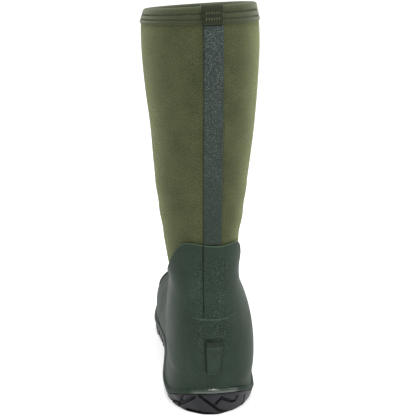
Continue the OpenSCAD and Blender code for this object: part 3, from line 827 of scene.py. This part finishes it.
# ---------------------------------------------------------------- kick tab
def kick_tab():
    nt, nx = 84, 61
    t0, t1 = 12.45, 13.9
    u = np.linspace(0, 1, nt)
    v = np.linspace(-1, 1, nx)
    A = np.zeros((nt, nx, 3))
    B = np.zeros((nt, nx, 3))
    S = np.ones((nt, nx))
    for i, a in enumerate(u):
        t = t0 + (t1 - t0) * a
        w = 8.6 - 2.4 * a
        cx = 0.5 - 1.5 * a
        x = cx + v * w
        # side profile: sloped shelf, lip, then a body that thins toward the bottom
        shelf = smooth(a / 0.06)
        body = 4.8 - 1.5 * a
        lip = 1.3 * np.exp(-((a - 0.09) / 0.03) ** 2)
        o = 3.4 + shelf * (body + lip)
        edge_d = w * (1 - np.abs(v))
        bot = (1 - a) * 31.0
        rim = smooth(edge_d / 0.7) * smooth(bot / 1.1)
        h = 3.2 + (o - 3.2) * rim
        # raised frame round a sunk field
        inside = smooth((edge_d - 1.7) / 0.5) * smooth((a - 0.2) / 0.02) * smooth((0.93 - a) / 0.02)
        h = h - 0.75 * inside
        # short plain grip bars in the field
        for k in range(5):
            c = 0.30 + k * 0.135
            bar = smooth((0.026 - abs(a - c)) / 0.012) * smooth((2.7 - np.abs(x - cx)) / 0.5)
            h = h + 0.42 * bar * inside
            # painted shade in the groove round each grip bar
            S[i] -= 0.12 * (smooth((0.045 - abs(a - c)) / 0.02) * smooth((3.2 - np.abs(x - cx)) / 0.5) - bar) * inside
        # painted shade on the top shelf
        S[i] *= np.where(a < 0.07, 0.5, 1.0)
        # painted shade along the tab's edges
        S[i] *= 1 - 0.6 * (1 - smooth(edge_d / 0.8))
        A[i] = backp(t, x, h)
        B[i] = backp(t, x, np.full(nx, 1.8))
    b = Build()
    b.patch(A, B, shade=S, peb=0.25)
    return b.make("kick_tab_moulding", green_dark, 50, body="foot", replaces=["kick_tab"], slot="green_rubber")


kick_tab()


# ---------------------------------------------------------------- sole plan
def around(k):
    t = np.arange(k) * len(O) / k

    def rim(t):
        i = np.floor(t).astype(int)
        n = len(O)
        return cr(O[(i - 1) % n], O[i % n], O[(i + 1) % n], O[(i + 2) % n], (t - i)[:, None])
    P = rim(t)
    d = rim(t + 0.1) - rim(t - 0.1)
    L = np.hypot(d[:, 0], d[:, 1])
    N = np.stack([d[:, 1] / L, -d[:, 0] / L], -1)
    i = np.floor(t).astype(int)
    u = t - i
    g = G[i % len(G)] * (1 - u) + G[(i + 1) % len(G)] * u
    # smooth the tuck
    kk = np.exp(-0.5 * (np.arange(-k // 40, k // 40 + 1) / (k / 90)) ** 2)
    kk /= kk.sum()
    h = len(kk) // 2
    g = np.convolve(np.concatenate([g[-h:], g, g[:h]]), kk, mode="valid")[:k]
    seg = np.hypot(*(np.roll(P[:, :2], -1, 0) - P[:, :2]).T)
    s = np.concatenate([[0], np.cumsum(seg)[:-1]])
    total = seg.sum()
    s = np.where(s > total / 2, s - total, s)
    return P[:, :2], P[:, 2], N, g, s, total


K = 880
PL, RZ, NV, TK, SS, PERIM = around(K)
LUG = 4.5

# grooves of the side wall, as lines (distance round the edge, height)
WALL = [[(-64, 1.5), (-47, 7), (-36, 9.5), (-28, 14.5), (-22, 19)],
        [(-34, 19.5), (-38, 11.5)],
        [(-16, 22.4), (-6, 14.5), (5, 5), (12, 2.5), (20, 0)],
        [(-21, 19.7), (-31, 13), (-45, 4)],
        [(-33, 2.4), (-22, 2.7), (-11, 2), (3, 1.3)],
        [(1, 13.8), (7, 20.3)],
        [(9, 18.2), (19, 12.5), (24, 12.3), (25, 17.4)],
        [(37, 14), (40, 6), (38, 0.3)],
        [(65, 0), (60, 6), (66, 9.5)],
        [(-80, 0), (-74, 5), (-81, 9.5)]]
s0 = 78.0
side_k = 0
while s0 < PERIM - 92:
    k = side_k % 2
    WALL.append([(s0, 0), (s0 + (7 if k else -6), 6), (s0 + (1 if k else 2), 12), (s0 + (6 if k else -5), 19)])
    s0 += 13.2 + (1.6 if k else -0.8)
    side_k += 1


def groove_depth(s, z):
    """0..1 in the grooves of the side wall; s may be given beyond half way round."""
    best = np.full(s.shape, 99.0)
    for line in WALL:
        for (a, b), (c, d) in zip(line[:-1], line[1:]):
            for shift in (0.0, PERIM, -PERIM):
                ax, cx = a + shift, c + shift
                if max(ax, cx) < s.min() - 4 or min(ax, cx) > s.max() + 4:
                    continue
                vx, vz = cx - ax, d - b
                f = np.clip(((s - ax) * vx + (z - b) * vz) / (vx * vx + vz * vz), 0, 1)
                best = np.minimum(best, np.hypot(s - ax - f * vx, z - b - f * vz))
    return smooth((1.75 - best) / 1.05)


def outsole_wall():
    n = 30
    fr = np.concatenate([np.linspace(0, 1, n)])
    z0 = 0.35
    rows, sh = [], []
    for f in fr:
        z = z0 + (RZ - z0) * f
        w = -TK * (1 - (z / RZ)) ** 1.15 + 0.05
        d = groove_depth(SS, z)
        cut = d * smooth((RZ - z) / 2.2)
        low = smooth((z - z0) / 1.0)
        depth = 2.1 * cut
        w = w - depth - 0.45 * (1 - low)
        # lug faces are not quite flat
        w = w + 0.22 * np.sin(SS * 0.33 + z * 0.25) * (1 - cut)
        rows.append(np.column_stack([PL[:, 0] + OX + w * NV[:, 0], PL[:, 1] + OY + w * NV[:, 1], z]))
        # painted shade: darker in the grooves and towards the top of the wall under the bead, with a slow sine ripple
        # of tone
        top = smooth((z / np.maximum(RZ, 1) - 0.86) / 0.1)
        sh.append(1 - 0.72 * cut - 0.3 * top + 0.12 * (1 - cut) * np.sin(SS * 0.21 + 1) * (z / RZ))
    # underside lip, then up inside
    def level(o, g, z):
        w = o - g * TK
        return np.column_stack([PL[:, 0] + OX + w * NV[:, 0], PL[:, 1] + OY + w * NV[:, 1], np.broadcast_to(z, RZ.shape)])
    under = [level(-4.6, 1, LUG + 0.0), level(-4.1, 1, LUG - 0.6), level(-3.6, 1, 1.2), level(-2.6, 1, 0.1),
             level(-1.2, 1, 0.05)]
    over = [level(-0.5, 0.03, RZ + 0.0), level(-2.6, 0.1, RZ), level(-3, 1, 8.6)]
    allr = under + rows + over
    # painted shade on the underside between the lugs and inside the cup
    S = [np.full(K, 0.55)] * 2 + [np.full(K, 0.9)] * 3 + sh + [np.full(K, 0.7)] * 3
    P = np.array(allr)
    P = np.concatenate([P, P[:, :1]], 1)
    S = np.array(S)
    S = np.concatenate([S, S[:, :1]], 1)
    b = Build()
    ids, UV = b.ring_grid(P, shade=S, mid=0)
    b.ngon(ids[0][:-1][::-1], P[0][:-1])
    b.ngon(ids[-1][:-1], P[-1][:-1])
    return b


def clip_poly(poly, cell):
    """Part of poly inside a convex cell given counter-clockwise."""
    out = list(poly)
    for i in range(len(cell)):
        a, c = cell[i], cell[(i + 1) % len(cell)]
        e = (c[0] - a[0], c[1] - a[1])
        ins = lambda p: e[0] * (p[1] - a[1]) - e[1] * (p[0] - a[0]) >= 0
        src, out = out, []
        for k in range(len(src)):
            p, q = src[k - 1], src[k]
            ip, iq = ins(p), ins(q)
            if ip != iq:
                dx, dy = q[0] - p[0], q[1] - p[1]
                den = e[0] * dy - e[1] * dx
                f = (e[1] * (p[0] - a[0]) - e[0] * (p[1] - a[1])) / den
                out.append((p[0] + f * dx, p[1] + f * dy))
            if iq:
                out.append(q)
        if not out:
            return []
    return out


def tidy(poly, least=1.3):
    out = []
    for p in poly:
        if not out or math.hypot(p[0] - out[-1][0], p[1] - out[-1][1]) > least:
            out.append(p)
    while len(out) > 2 and math.hypot(out[0][0] - out[-1][0], out[0][1] - out[-1][1]) <= least:
        out.pop()
    return out


def area(poly):
    return 0.5 * sum(poly[k - 1][0] * poly[k][1] - poly[k][0] * poly[k - 1][1] for k in range(len(poly)))


def inset(poly, d):
    out = []
    n = len(poly)
    for k in range(n):
        a, p, c = poly[k - 1], poly[k], poly[(k + 1) % n]
        e1 = np.array([p[0] - a[0], p[1] - a[1]]); e1 /= max(np.hypot(*e1), 1e-9)
        e2 = np.array([c[0] - p[0], c[1] - p[1]]); e2 /= max(np.hypot(*e2), 1e-9)
        n1, n2 = np.array([-e1[1], e1[0]]), np.array([-e2[1], e2[0]])
        m = n1 + n2
        L = np.hypot(*m)
        if L < 0.3:
            m, L = n1, 1.0
        m = m / L
        out.append((p[0] + m[0] * d / max(0.5, float(m @ n1)), p[1] + m[1] * d / max(0.5, float(m @ n1))))
    return out


def lugs(b):
    # inner field: the outline at the ground, well inside the side wall
    w = -TK - 7.0
    field = [(PL[k, 0] + w[k] * NV[k, 0], PL[k, 1] + w[k] * NV[k, 1]) for k in range(0, K, 4)]
    if area(field) < 0:
        field = field[::-1]
    cells = []
    for i in range(13):
        y0 = 152 + 13 * i
        d = 4 if i % 2 else -4
        for x0, x1 in ((1.2, 21 + d), (24.5 + d, 75)):
            for sgn in (1, -1):
                a, c = sgn * x0, sgn * x1
                q = [(a, y0 + 4 + 0.3 * x0), (c, y0 + 4 + 0.3 * x1), (c, y0 + 12.6 + 0.3 * x1), (a, y0 + 12.6 + 0.3 * x0)]
                cells.append(q)
    for i in range(7):
        y0 = 4 + 13 * i
        d = 3 if i % 2 else -3
        for x0, x1 in ((1.2, 17 + d), (20.5 + d, 75)):
            for sgn in (1, -1):
                a, c = sgn * x0, sgn * x1
                q = [(a, y0 + 9 - 0.3 * x0), (c, y0 + 9 - 0.3 * x1), (c, y0 + 17.6 - 0.3 * x1), (a, y0 + 17.6 - 0.3 * x0)]
                cells.append(q)
    for i in range(4):
        cells.append([(-60, 110 + 9 * i), (60, 110 + 9 * i), (60, 113.4 + 9 * i), (-60, 113.4 + 9 * i)])
    for n, q in enumerate(cells):
        if area(q) < 0:
            q = q[::-1]
        foot = 0.0 if n < len(cells) - 4 else 2.8
        top_y = max(p[1] for p in q)
        if foot == 0.0 and 96 < top_y < 152 and n >= 52:
            continue
        poly = tidy(clip_poly(field, q))
        if len(poly) < 3 or area(poly) < 16:
            continue
        rings = []
        for z, d in ((LUG + 0.2, -0.25), (foot + 1.1, 0.15), (foot + 0.3, 0.45), (foot, 1.0)):
            r = inset(poly, d)
            # painted shade at the root of each lug, where it meets the sole
            rings.append(b.points([(p[0] + OX, p[1] + OY, z) for p in r], 1.0 if z < LUG else 0.5))
        m = len(poly)
        for r0, r1 in zip(rings[:-1], rings[1:]):
            for k in range(m):
                k2 = (k + 1) % m
                b.face([r0[k], r1[k], r1[k2], r0[k2]], [(0, 0)] * 4)
        b.face(list(rings[-1])[::-1], [(0, 0)] * m)
        b.face(list(rings[0]), [(0, 0)] * m)


bo = outsole_wall()
bo.make("outsole_wall", black, 38, body="foot", replaces=["outsole"], slot="black_rubber")
bl = Build()
lugs(bl)
bl.make("outsole_lugs", black, 30, body="foot", slot="black_rubber")


def skirt_reach(z):
    """How far out the rubber shell comes, from the edge of the sole, at heights z."""
    from mathutils.bvhtree import BVHTree
    me = bpy.data.objects["rubber_upper"].data
    tree = BVHTree.FromPolygons([tuple(v.co) for v in me.vertices], [tuple(p.vertices) for p in me.polygons])
    out = []
    for k in range(K):
        o = Vector(((PL[k, 0] + OX + 40 * NV[k, 0]) * 0.001, (PL[k, 1] + OY + 40 * NV[k, 1]) * 0.001, z[k] * 0.001))
        hit = tree.ray_cast(o, Vector((-NV[k, 0], -NV[k, 1], 0)))
        out.append(-12.0 if hit[0] is None else max(-14.0, 40 - hit[3] * 1000))
    out = np.array(out)
    n = 31
    kk = np.hanning(n)
    kk /= kk.sum()
    h = n // 2
    return np.convolve(np.concatenate([out[-h:], out, out[:h]]), kk, mode="valid")


def foxing():
    k = K
    th = np.linspace(-80, 95, 16)
    prof = [(-8.0, 0.6, 0), (-2.7, 0.15, 0), (-0.6, 0.12, 0)]
    for a in np.radians(th):
        prof.append((-1.35 + 2.3 * math.cos(a), 2.7 + 2.45 * math.sin(a), 0))
    top = 27.0
    ws = skirt_reach(RZ + top) - 0.5
    for f in np.linspace(0.0, 1, 12):
        e = smooth(f * 3)
        prof.append((None, 5.3 + (top - 5.3) * f, (-1.75 - 0.35 * e) * (1 - f) + ws * f))
    prof += [(None, top + 0.6, ws - 2.0), (None, top - 2, ws - 5.0)]
    rows, sh = [], []
    for o, dz, g in prof:
        w = g if o is None else o + 0 * TK
        rows.append(np.column_stack([PL[:, 0] + OX + w * NV[:, 0], PL[:, 1] + OY + w * NV[:, 1], RZ + dz]))
        # painted shade along the foot of the skirt where it meets the sole; painted highlight on the bead
        sh.append(np.full(k, 0.7 if dz < 0.5 else 1.12 if 1.5 < dz < 5.2 else 1.0))
    P = np.array(rows + rows[:1])
    P = np.concatenate([P, P[:, :1]], 1)
    S = np.array(sh + sh[:1])
    S = np.concatenate([S, S[:, :1]], 1)
    b = Build()
    px, py = P[..., 0] - OX, P[..., 1] - OY
    glow = np.maximum(smooth((26 - np.abs(px - 1)) / 9) * smooth((40 - py) / 20), 0.2 * smooth((py - 60) / 40))
    rowk = np.arange(len(P))[:, None]
    ids, UV = b.ring_grid(P, shade=S, mid=0, peb=glow * ((rowk >= 3) & (rowk <= 19)))
    join(b, ids)
    ob = b.make("foxing_bead", green, 60, body="foot", replaces=["foxing_strip"], slot="green_rubber")
    ob.data.materials.append(bead_m)
    zr = np.array([p.center[2] for p in ob.data.polygons]) * 1000
    n = len(prof)
    # the bead itself is glossier than the skirt above it
    for f in ob.data.polygons:
        vs = [v // K for v in f.vertices]
        if 3 <= min(vs) and max(vs) <= 19:
            f.material_index = 1
    return ob


def join(b, ids):
    last, first = ids[-1], ids[0]
    remap = {int(last[j]): int(first[j]) for j in range(len(last))}
    b.f = [[remap.get(i, i) for i in f] for f in b.f]
    used = sorted({i for f in b.f for i in f})
    new = {o: k for k, o in enumerate(used)}
    b.v = [b.v[i] for i in used]
    b.shade = [b.shade[i] for i in used]
    b.peb = [b.peb[i] for i in used]
    b.f = [[new[i] for i in f] for f in b.f]


foxing()


# ---------------------------------------------------------------- footbed and its cup
def footbed():
    w = -24.0
    k = K // 4
    P2 = np.array([(PL[i, 0] + w * NV[i, 0], PL[i, 1] + w * NV[i, 1]) for i in range(0, K, 4)])
    P2[:, 1] = np.minimum(P2[:, 1], 266)
    cx = 3 + 0 * P2[:, 1]
    cxy = np.column_stack([np.interp(P2[:, 1], [20, 100, 200, 266], [1, 3, 10, 5]), P2[:, 1]])
    rows, sh = [], []
    heel = smooth((110 - P2[:, 1]) / 60)
    for f in np.linspace(1, 0.04, 14):
        # shrink toward the long axis, and at the ends along it
        c = cxy.copy()
        c[:, 1] = 24 + (P2[:, 1] - 24) * 0.0 + np.clip(P2[:, 1], 44, 236)
        xy = c + (P2 - c) * f
        z = 34.8 - 1.6 * (1 - f ** 4) + 1.4 * heel * f ** 3
        rows.append(np.column_stack([xy[:, 0] + OX, xy[:, 1] + OY, z]))
        sh.append(np.full(len(P2), 1.0))
    bottom = [np.column_stack([P2[:, 0] + OX, P2[:, 1] + OY, np.full(len(P2), 31.0)]),
              np.column_stack([P2[:, 0] + OX + 0.0, P2[:, 1] + OY, np.full(len(P2), 33.6)])]
    P = np.array(bottom + rows)
    P = np.concatenate([P, P[:, :1]], 1)
    b = Build()
    ids, UV = b.ring_grid(P, mid=0)
    b.ngon(ids[0][:-1][::-1], P[0][:-1])
    b.ngon(ids[-1][:-1], P[-1][:-1])
    return b.make("footbed_shaped", footbed_m, 50, body="foot", replaces=["footbed"], slot="footbed_foam")


footbed_m = fabric("footbed_top", lin(60, 64, 58), lin(84, 88, 80), 1.2, 1.2, 0.3, 0.4)
footbed()


# ---------------------------------------------------------------- collar
K1 = 14.5 / 43


def hoop(name, prof, material, replaces, slot, shade=None):
    a = np.zeros(len(prof))
    t = np.array([p[1] for p in prof])
    o = np.array([p[0] for p in prof])
    dz = np.array([p[2] for p in prof])
    P = grid_at(a, np.maximum(t, 0.0), o, dz)
    P = np.concatenate([P, P[:1]], 0)
    S = np.array([shade[i] if shade else 1.0 for i in range(len(prof))] + [shade[0] if shade else 1.0])
    b = Build()
    ids, UV = b.ring_grid(P, shade=S[:, None] * np.ones(NC))
    join(b, ids)
    return b.make(name, material, 60, body="shaft", replaces=replaces, slot=slot)


def bulge(t0, t1, o0, o1, n, dz=0.0, back=0.1):
    """Profile of a soft band from t0 down to t1, rounded outside."""
    out, sh = [], []
    for f in np.linspace(0, 1, n):
        e = (1 - (2 * f - 1) ** 4)
        out.append((o0 + (o1 - o0) * e ** 0.6, t0 + (t1 - t0) * f, dz))
        # painted shade: darker toward the band's edges where it turns into the creases; the two back rows below are
        # darker still
        sh.append(0.5 + 0.5 * smooth(e * 1.6))
    out.append((back, t1, dz))
    out.append((back, t0, dz))
    sh += [0.4, 0.4]
    return out, sh


# the sh lists are painted shade: darker where the binding turns in at its edges, on its inner face and on the hidden
# back rows; the outer top of its arc carries a painted highlight
prof, sh = [], []
for f in np.linspace(0, 1, 9):
    e = 1 - f ** 5
    prof.append((0.5 + 1.2 * e ** 0.5, 0.02 + (K1 - 0.02) * f, 0))
    sh.append(0.5 + 0.5 * smooth(e * 2.2))
prof = prof[::-1]
sh = sh[::-1]
prof = [(0.12, 0.02, 0.0), (0.12, K1, 0)] + prof
sh = [0.4, 0.4] + sh
i1 = -6.7
arc = [(1.6, 0.45), (1.3, 1.2), (0.6, 1.95), (-0.4, 2.45), (-2.2, 2.7), (-4.0, 2.6), (-5.4, 2.2), (-6.6, 1.5),
       (-7.5, 0.7), (-7.9, 0.0)]
for o, dz in arc:
    prof.append((o, 0.0, dz))
    sh.append(1.06 if o > -1 else 0.95)
for f in np.linspace(0.15, 1, 6):
    prof.append((-7.9 + 0.2 * f ** 6, K1 * f, 0))
    sh.append(0.85)
prof += [(i1 - 0.12, K1, 0), (i1 - 0.12, 0.02, 0.0), (i1 - 0.12, 0.0, 0.15), (0.12, 0.0, 0.15)]
sh += [0.4, 0.4, 0.4, 0.4]
hoop("collar_binding_tape", prof, collar_m, ["collar_binding"], "collar_fabric", sh)
prof, sh = bulge(K1 + 0.035, 2 * K1, 0.4, 1.25, 13)
hoop("collar_band_tape", prof, collar_m, ["collar_band"], "collar_fabric", sh)
prof, sh = bulge(2 * K1 + 0.02, 2 * K1 + 0.225, 0.5, 1.3, 13)
hoop("collar_roll_tape", prof, roll_m, ["collar_roll"], "collar_fabric", sh)


# ---------------------------------------------------------------- stitches
def stitch(b, p0, p1, up, r, rise=0.35):
    """A short thread loop from p0 to p1, lifted along up in the middle."""
    p0, p1, up = np.array(p0), np.array(p1), np.array(up) / np.linalg.norm(up)
    d = (p1 - p0) / np.linalg.norm(p1 - p0)
    side = np.cross(d, up)
    rings = []
    for f in np.linspace(0, 1, 7):
        c = p0 + (p1 - p0) * f + up * rise * r * 2 * math.sin(math.pi * f) ** 0.7
        rr = r * (0.45 + 0.55 * math.sin(math.pi * min(1, max(0, f * 1.0))) ** 0.5)
        rings.append([c + rr * (math.cos(a) * up + math.sin(a) * side) for a in np.linspace(0, 2 * math.pi, 8)[:-1]])
    ids = [b.points(r_) for r_ in rings]
    n = len(ids[0])
    for r0, r1 in zip(ids[:-1], ids[1:]):
        for k in range(n):
            k2 = (k + 1) % n
            b.face([r0[k], r0[k2], r1[k2], r1[k]], [(0, 0), (1, 0), (1, 1), (0, 1)])
    b.face(list(ids[0])[::-1], [(0, 0)] * n)
    b.face(list(ids[-1]), [(0, 0)] * n)


def ring_stitches(t, o, r, length, gap, slant=0.0):
    """Stitches all round the shaft at place t."""
    b = Build()
    q = np.linspace(0, 360, 1441)
    P = pt(np.full(q.shape, t), q, np.full(q.shape, o))
    Pn = pt(np.full(q.shape, t), q, np.full(q.shape, o + 1))
    d = np.concatenate([[0], np.cumsum(np.linalg.norm(np.diff(P, axis=0), axis=1))])
    n = int(d[-1] / (length + gap))
    step = d[-1] / n
    for k in range(n):
        s0, s1 = k * step, k * step + length
        q0, q1 = np.interp([s0, s1], d, q)
        a = pt(t - slant, q0, o)
        c = pt(t + slant, q1, o)
        up = pt(t, (q0 + q1) / 2, o + 1) - pt(t, (q0 + q1) / 2, o)
        stitch(b, a, c, up, r)
    return b


b = ring_stitches(K1 + 0.018, 0.85, 0.27, 2.1, 0.9)
b.make("collar_stitches", thread_d, 60, body="shaft", replaces=["collar_stitching"], slot="thread")
b = ring_stitches(2 * K1 + 0.01, 0.75, 0.2, 1.7, 0.8)
b.make("collar_lower_stitches", thread_d, 60, body="shaft", slot="thread")

# bartack: close upright stitches on the band, left of the tab, and a few on the binding at the right
b = Build()
for x in np.linspace(-29.5, -18.5, 7):
    for ta, tb in ((K1 + 0.07, 2 * K1 - 0.05), (2 * K1 + 0.045, 2 * K1 + 0.2)):
        o = 1.3 if tb < 2 * K1 else 1.35
        a, c = backp(ta, x, o), backp(tb, x, o)
        stitch(b, a, c, backp(ta, x, o + 1) - a, 0.27, 0.2)
b.make("bartack_stitches", thread_d, 60, body="shaft", replaces=["bartack"], slot="thread")
b = Build()
for x in np.linspace(17.5, 26, 6):
    a, c = backp(0.06, x, 1.75), backp(K1 - 0.06, x, 1.75)
    stitch(b, a, c, backp(0.06, x, 3) - a, 0.24, 0.2)
b.make("binding_overlap_stitches", thread_d, 60, body="shaft", slot="thread")


# ---------------------------------------------------------------- pull tab, over the rim
def pull_tab():
    path = [(-8.5, 0.52, 0), (-8.55, 0.3, 0), (-8.5, 0.06, 0), (-8.2, 0, 0.8), (-7.2, 0, 1.9), (-5.4, 0, 2.5),
            (-2.6, 0, 2.85), (0.2, 0, 2.55), (1.9, 0, 1.6), (2.8, 0, 0.7), (3.05, 0.03, 0), (3.1, 0.12, 0)]
    path += [(3.15 + 0.25 * math.sin(3.1 * f), 0.12 + 0.8 * f, 0) for f in np.linspace(0.05, 1, 26)]
    # densify
    pts = np.array([(o, -t * 15 + dz, t, dz) for o, t, dz in path])
    d = np.concatenate([[0], np.cumsum(np.hypot(*np.diff(pts[:, :2], axis=0).T))])
    s = np.linspace(0, d[-1], 84)
    pts = np.column_stack([np.interp(s, d, pts[:, k]) for k in range(4)])
    tan = np.gradient(pts[:, :2], axis=0)
    tan /= np.linalg.norm(tan, axis=1)[:, None]
    nor = np.column_stack([-tan[:, 1], tan[:, 0]])
    # outward side of the path: away from the wall of the shaft
    if nor[-5, 0] < 0:
        nor = -nor
    half = 9.8
    xs = np.concatenate([[-1, -0.98, -0.94, -0.88, -0.8], np.linspace(-0.7, 0.7, 21), [0.8, 0.88, 0.94, 0.98, 1]])
    fall = np.array([0.7, 0.35, 0.12, 0.03, 0] + [0] * 21 + [0, 0.03, 0.12, 0.35, 0.7])
    A, B, S = [], [], []
    L = s[-1]
    for i, (o, h, t, dz) in enumerate(pts):
        x = -2.3 + xs * half
        thick = 1.35
        end = smooth(min((L - s[i]) / 0.8, s[i] / 0.8))
        # sewn box: pulled in along the stitch lines
        sew = 0
        if t > 0.2 and o > 0:
            sew = 0.45 * np.exp(-((t - 0.32) / 0.05) ** 2) + 0.45 * np.exp(-((t - 0.66) / 0.05) ** 2)
        puff = 0.3 * (1 - np.abs(xs) ** 4)
        th = (thick + puff - sew) * (0.35 + 0.65 * end) - fall * thick
        oo, dd = o + nor[i, 0] * th, dz + nor[i, 1] * th
        A.append(np.array([backp(t, x[k], oo[k], dd[k]) for k in range(len(x))]))
        B.append(np.array([backp(t, x[k], o, dz) for k in range(len(x))]))
        # painted shade along the tab's edges and in the sewn lines
        e = 1 - 0.7 * smooth((np.abs(xs) - 0.86) / 0.12)
        e = e * (1 - 0.3 * min(1, sew / 0.45))
        S.append(e * np.ones(len(xs)))
    b = Build()
    b.patch(np.array(A), np.array(B), shade=np.array(S))
    return b.make("pull_tab_loop", tab_m, 50, body="shaft", replaces=["pull_tab"], slot="collar_fabric")


pull_tab()
b = Build()
for t in (0.32, 0.66):
    for k in range(6):
        x = -7.7 + k * 2.2
        a, c = backp(t + 0.07, x, 4.75), backp(t - 0.07, x + 0.35, 4.75)
        stitch(b, a, c, backp(t, x, 5.7) - backp(t, x, 4.7), 0.42, 0.5)
for k in range(5):
    t = 0.28 + k * 0.09
    a, c = backp(t, 5.9, 4.7), backp(t + 0.07, 5.9, 4.7)
    stitch(b, a, c, backp(t, 5.9, 5.7) - backp(t, 5.9, 4.7), 0.16, 0.3)
b.make("tab_stitches", thread_m, 60, body="shaft", replaces=["tab_stitching"], slot="thread")

# ---------------------------------------------------------------- floor and sweep behind
def sweep():
    b = Build()
    prof = [(-6000, 0), (2600, 0)]
    for a in np.linspace(0, 90, 14)[1:]:
        prof.append((2600 + 900 * math.sin(math.radians(a)), 900 - 900 * math.cos(math.radians(a))))
    prof.append((3500, 4200))
    P = np.array([[(x, y, z) for x in np.linspace(-6000, 6000, 5)] for y, z in prof])
    n, m = P.shape[:2]
    ids = b.points(P).reshape(n, m)
    for i in range(n - 1):
        for j in range(m - 1):
            b.face([ids[i, j], ids[i, j + 1], ids[i + 1, j + 1], ids[i + 1, j]], [(0, 0)] * 4)
    me = bpy.data.meshes.new("floor")
    me.from_pydata([[c * 0.001 for c in p] for p in b.v], [], b.f)
    for p in me.polygons:
        p.use_smooth = True
    ob = bpy.data.objects.new("floor", me)
    bpy.context.scene.collection.objects.link(ob)
    m = Mat("paper_sweep", rough=0.9, spec=0.1)
    n1 = m.noise(m.obj(1.0), 3.0, 2.0, 0.5)
    m.b.inputs["Emission Color"].default_value = (1, 1, 1, 1)
    m.b.inputs["Emission Strength"].default_value = FLOOR_GLOW
    me.materials.append(m.done(m.ramp(n1, [(0.3, (0.86, 0.86, 0.86)), (0.7, (0.88, 0.88, 0.88))])))


FLOOR_GLOW = 0.5
sweep()

# ---------------------------------------------------------------- light
scene = bpy.context.scene
scene.view_settings.view_transform = "Standard"
world = bpy.data.worlds.new("studio")
scene.world = world
world.use_nodes = True
bg = world.node_tree.nodes.get("Background") or world.node_tree.nodes.new("ShaderNodeBackground")
bg.inputs[0].default_value = (1, 1, 1, 1)
bg.inputs[1].default_value = 0.5


def area_light(name, loc, target, size, power, size_y=None):
    L = bpy.data.lights.new(name, "AREA")
    L.shape = "RECTANGLE"
    L.size = size
    L.size_y = size_y or size
    L.energy = power
    ob = bpy.data.objects.new(name, L)
    d = (Vector(target) - Vector(loc)).normalized()
    ob.matrix_world = Matrix.Translation(Vector(loc)) @ d.to_track_quat("-Z", "Y").to_matrix().to_4x4()
    scene.collection.objects.link(ob)


area_light("top_soft", (0.0, -0.5, 1.7), (0, -0.14, 0.03), 0.6, 20)
area_light("left_soft", (-1.7, 0.1, 0.9), (0, -0.05, 0.2), 1.2, 1, 1.8)
area_light("right_soft", (1.7, 0.1, 0.9), (0, -0.05, 0.2), 1.2, 9, 1.8)
area_light("front_soft", (0.5, -2.2, 1.3), (0, -0.1, 0.2), 1.0, 9)

# ---------------------------------------------------------------- camera
al, pi_ = math.radians(7), math.radians(13.8)
F = Vector((math.sin(al), math.cos(al), 0))
R = Vector((math.cos(al), -math.sin(al), 0))
pos = (Vector((0, 0, 399)) - 776 * F - 6.1 * R + Vector((OX, OY, 0))) * 0.001
fwd = F * math.cos(pi_) - Vector((0, 0, 1)) * math.sin(pi_)
up = F * math.sin(pi_) + Vector((0, 0, 1)) * math.cos(pi_)
cam_data = bpy.data.cameras.new("camera")
cam_data.sensor_width = 36
cam_data.lens = 880 / 416 * 36
cam_data.clip_end = 50
cam = bpy.data.objects.new("camera", cam_data)
rot = Matrix((R, up, -fwd)).transposed().to_4x4()
cam.matrix_world = Matrix.Translation(pos) @ rot
scene.collection.objects.link(cam)
scene.camera = cam
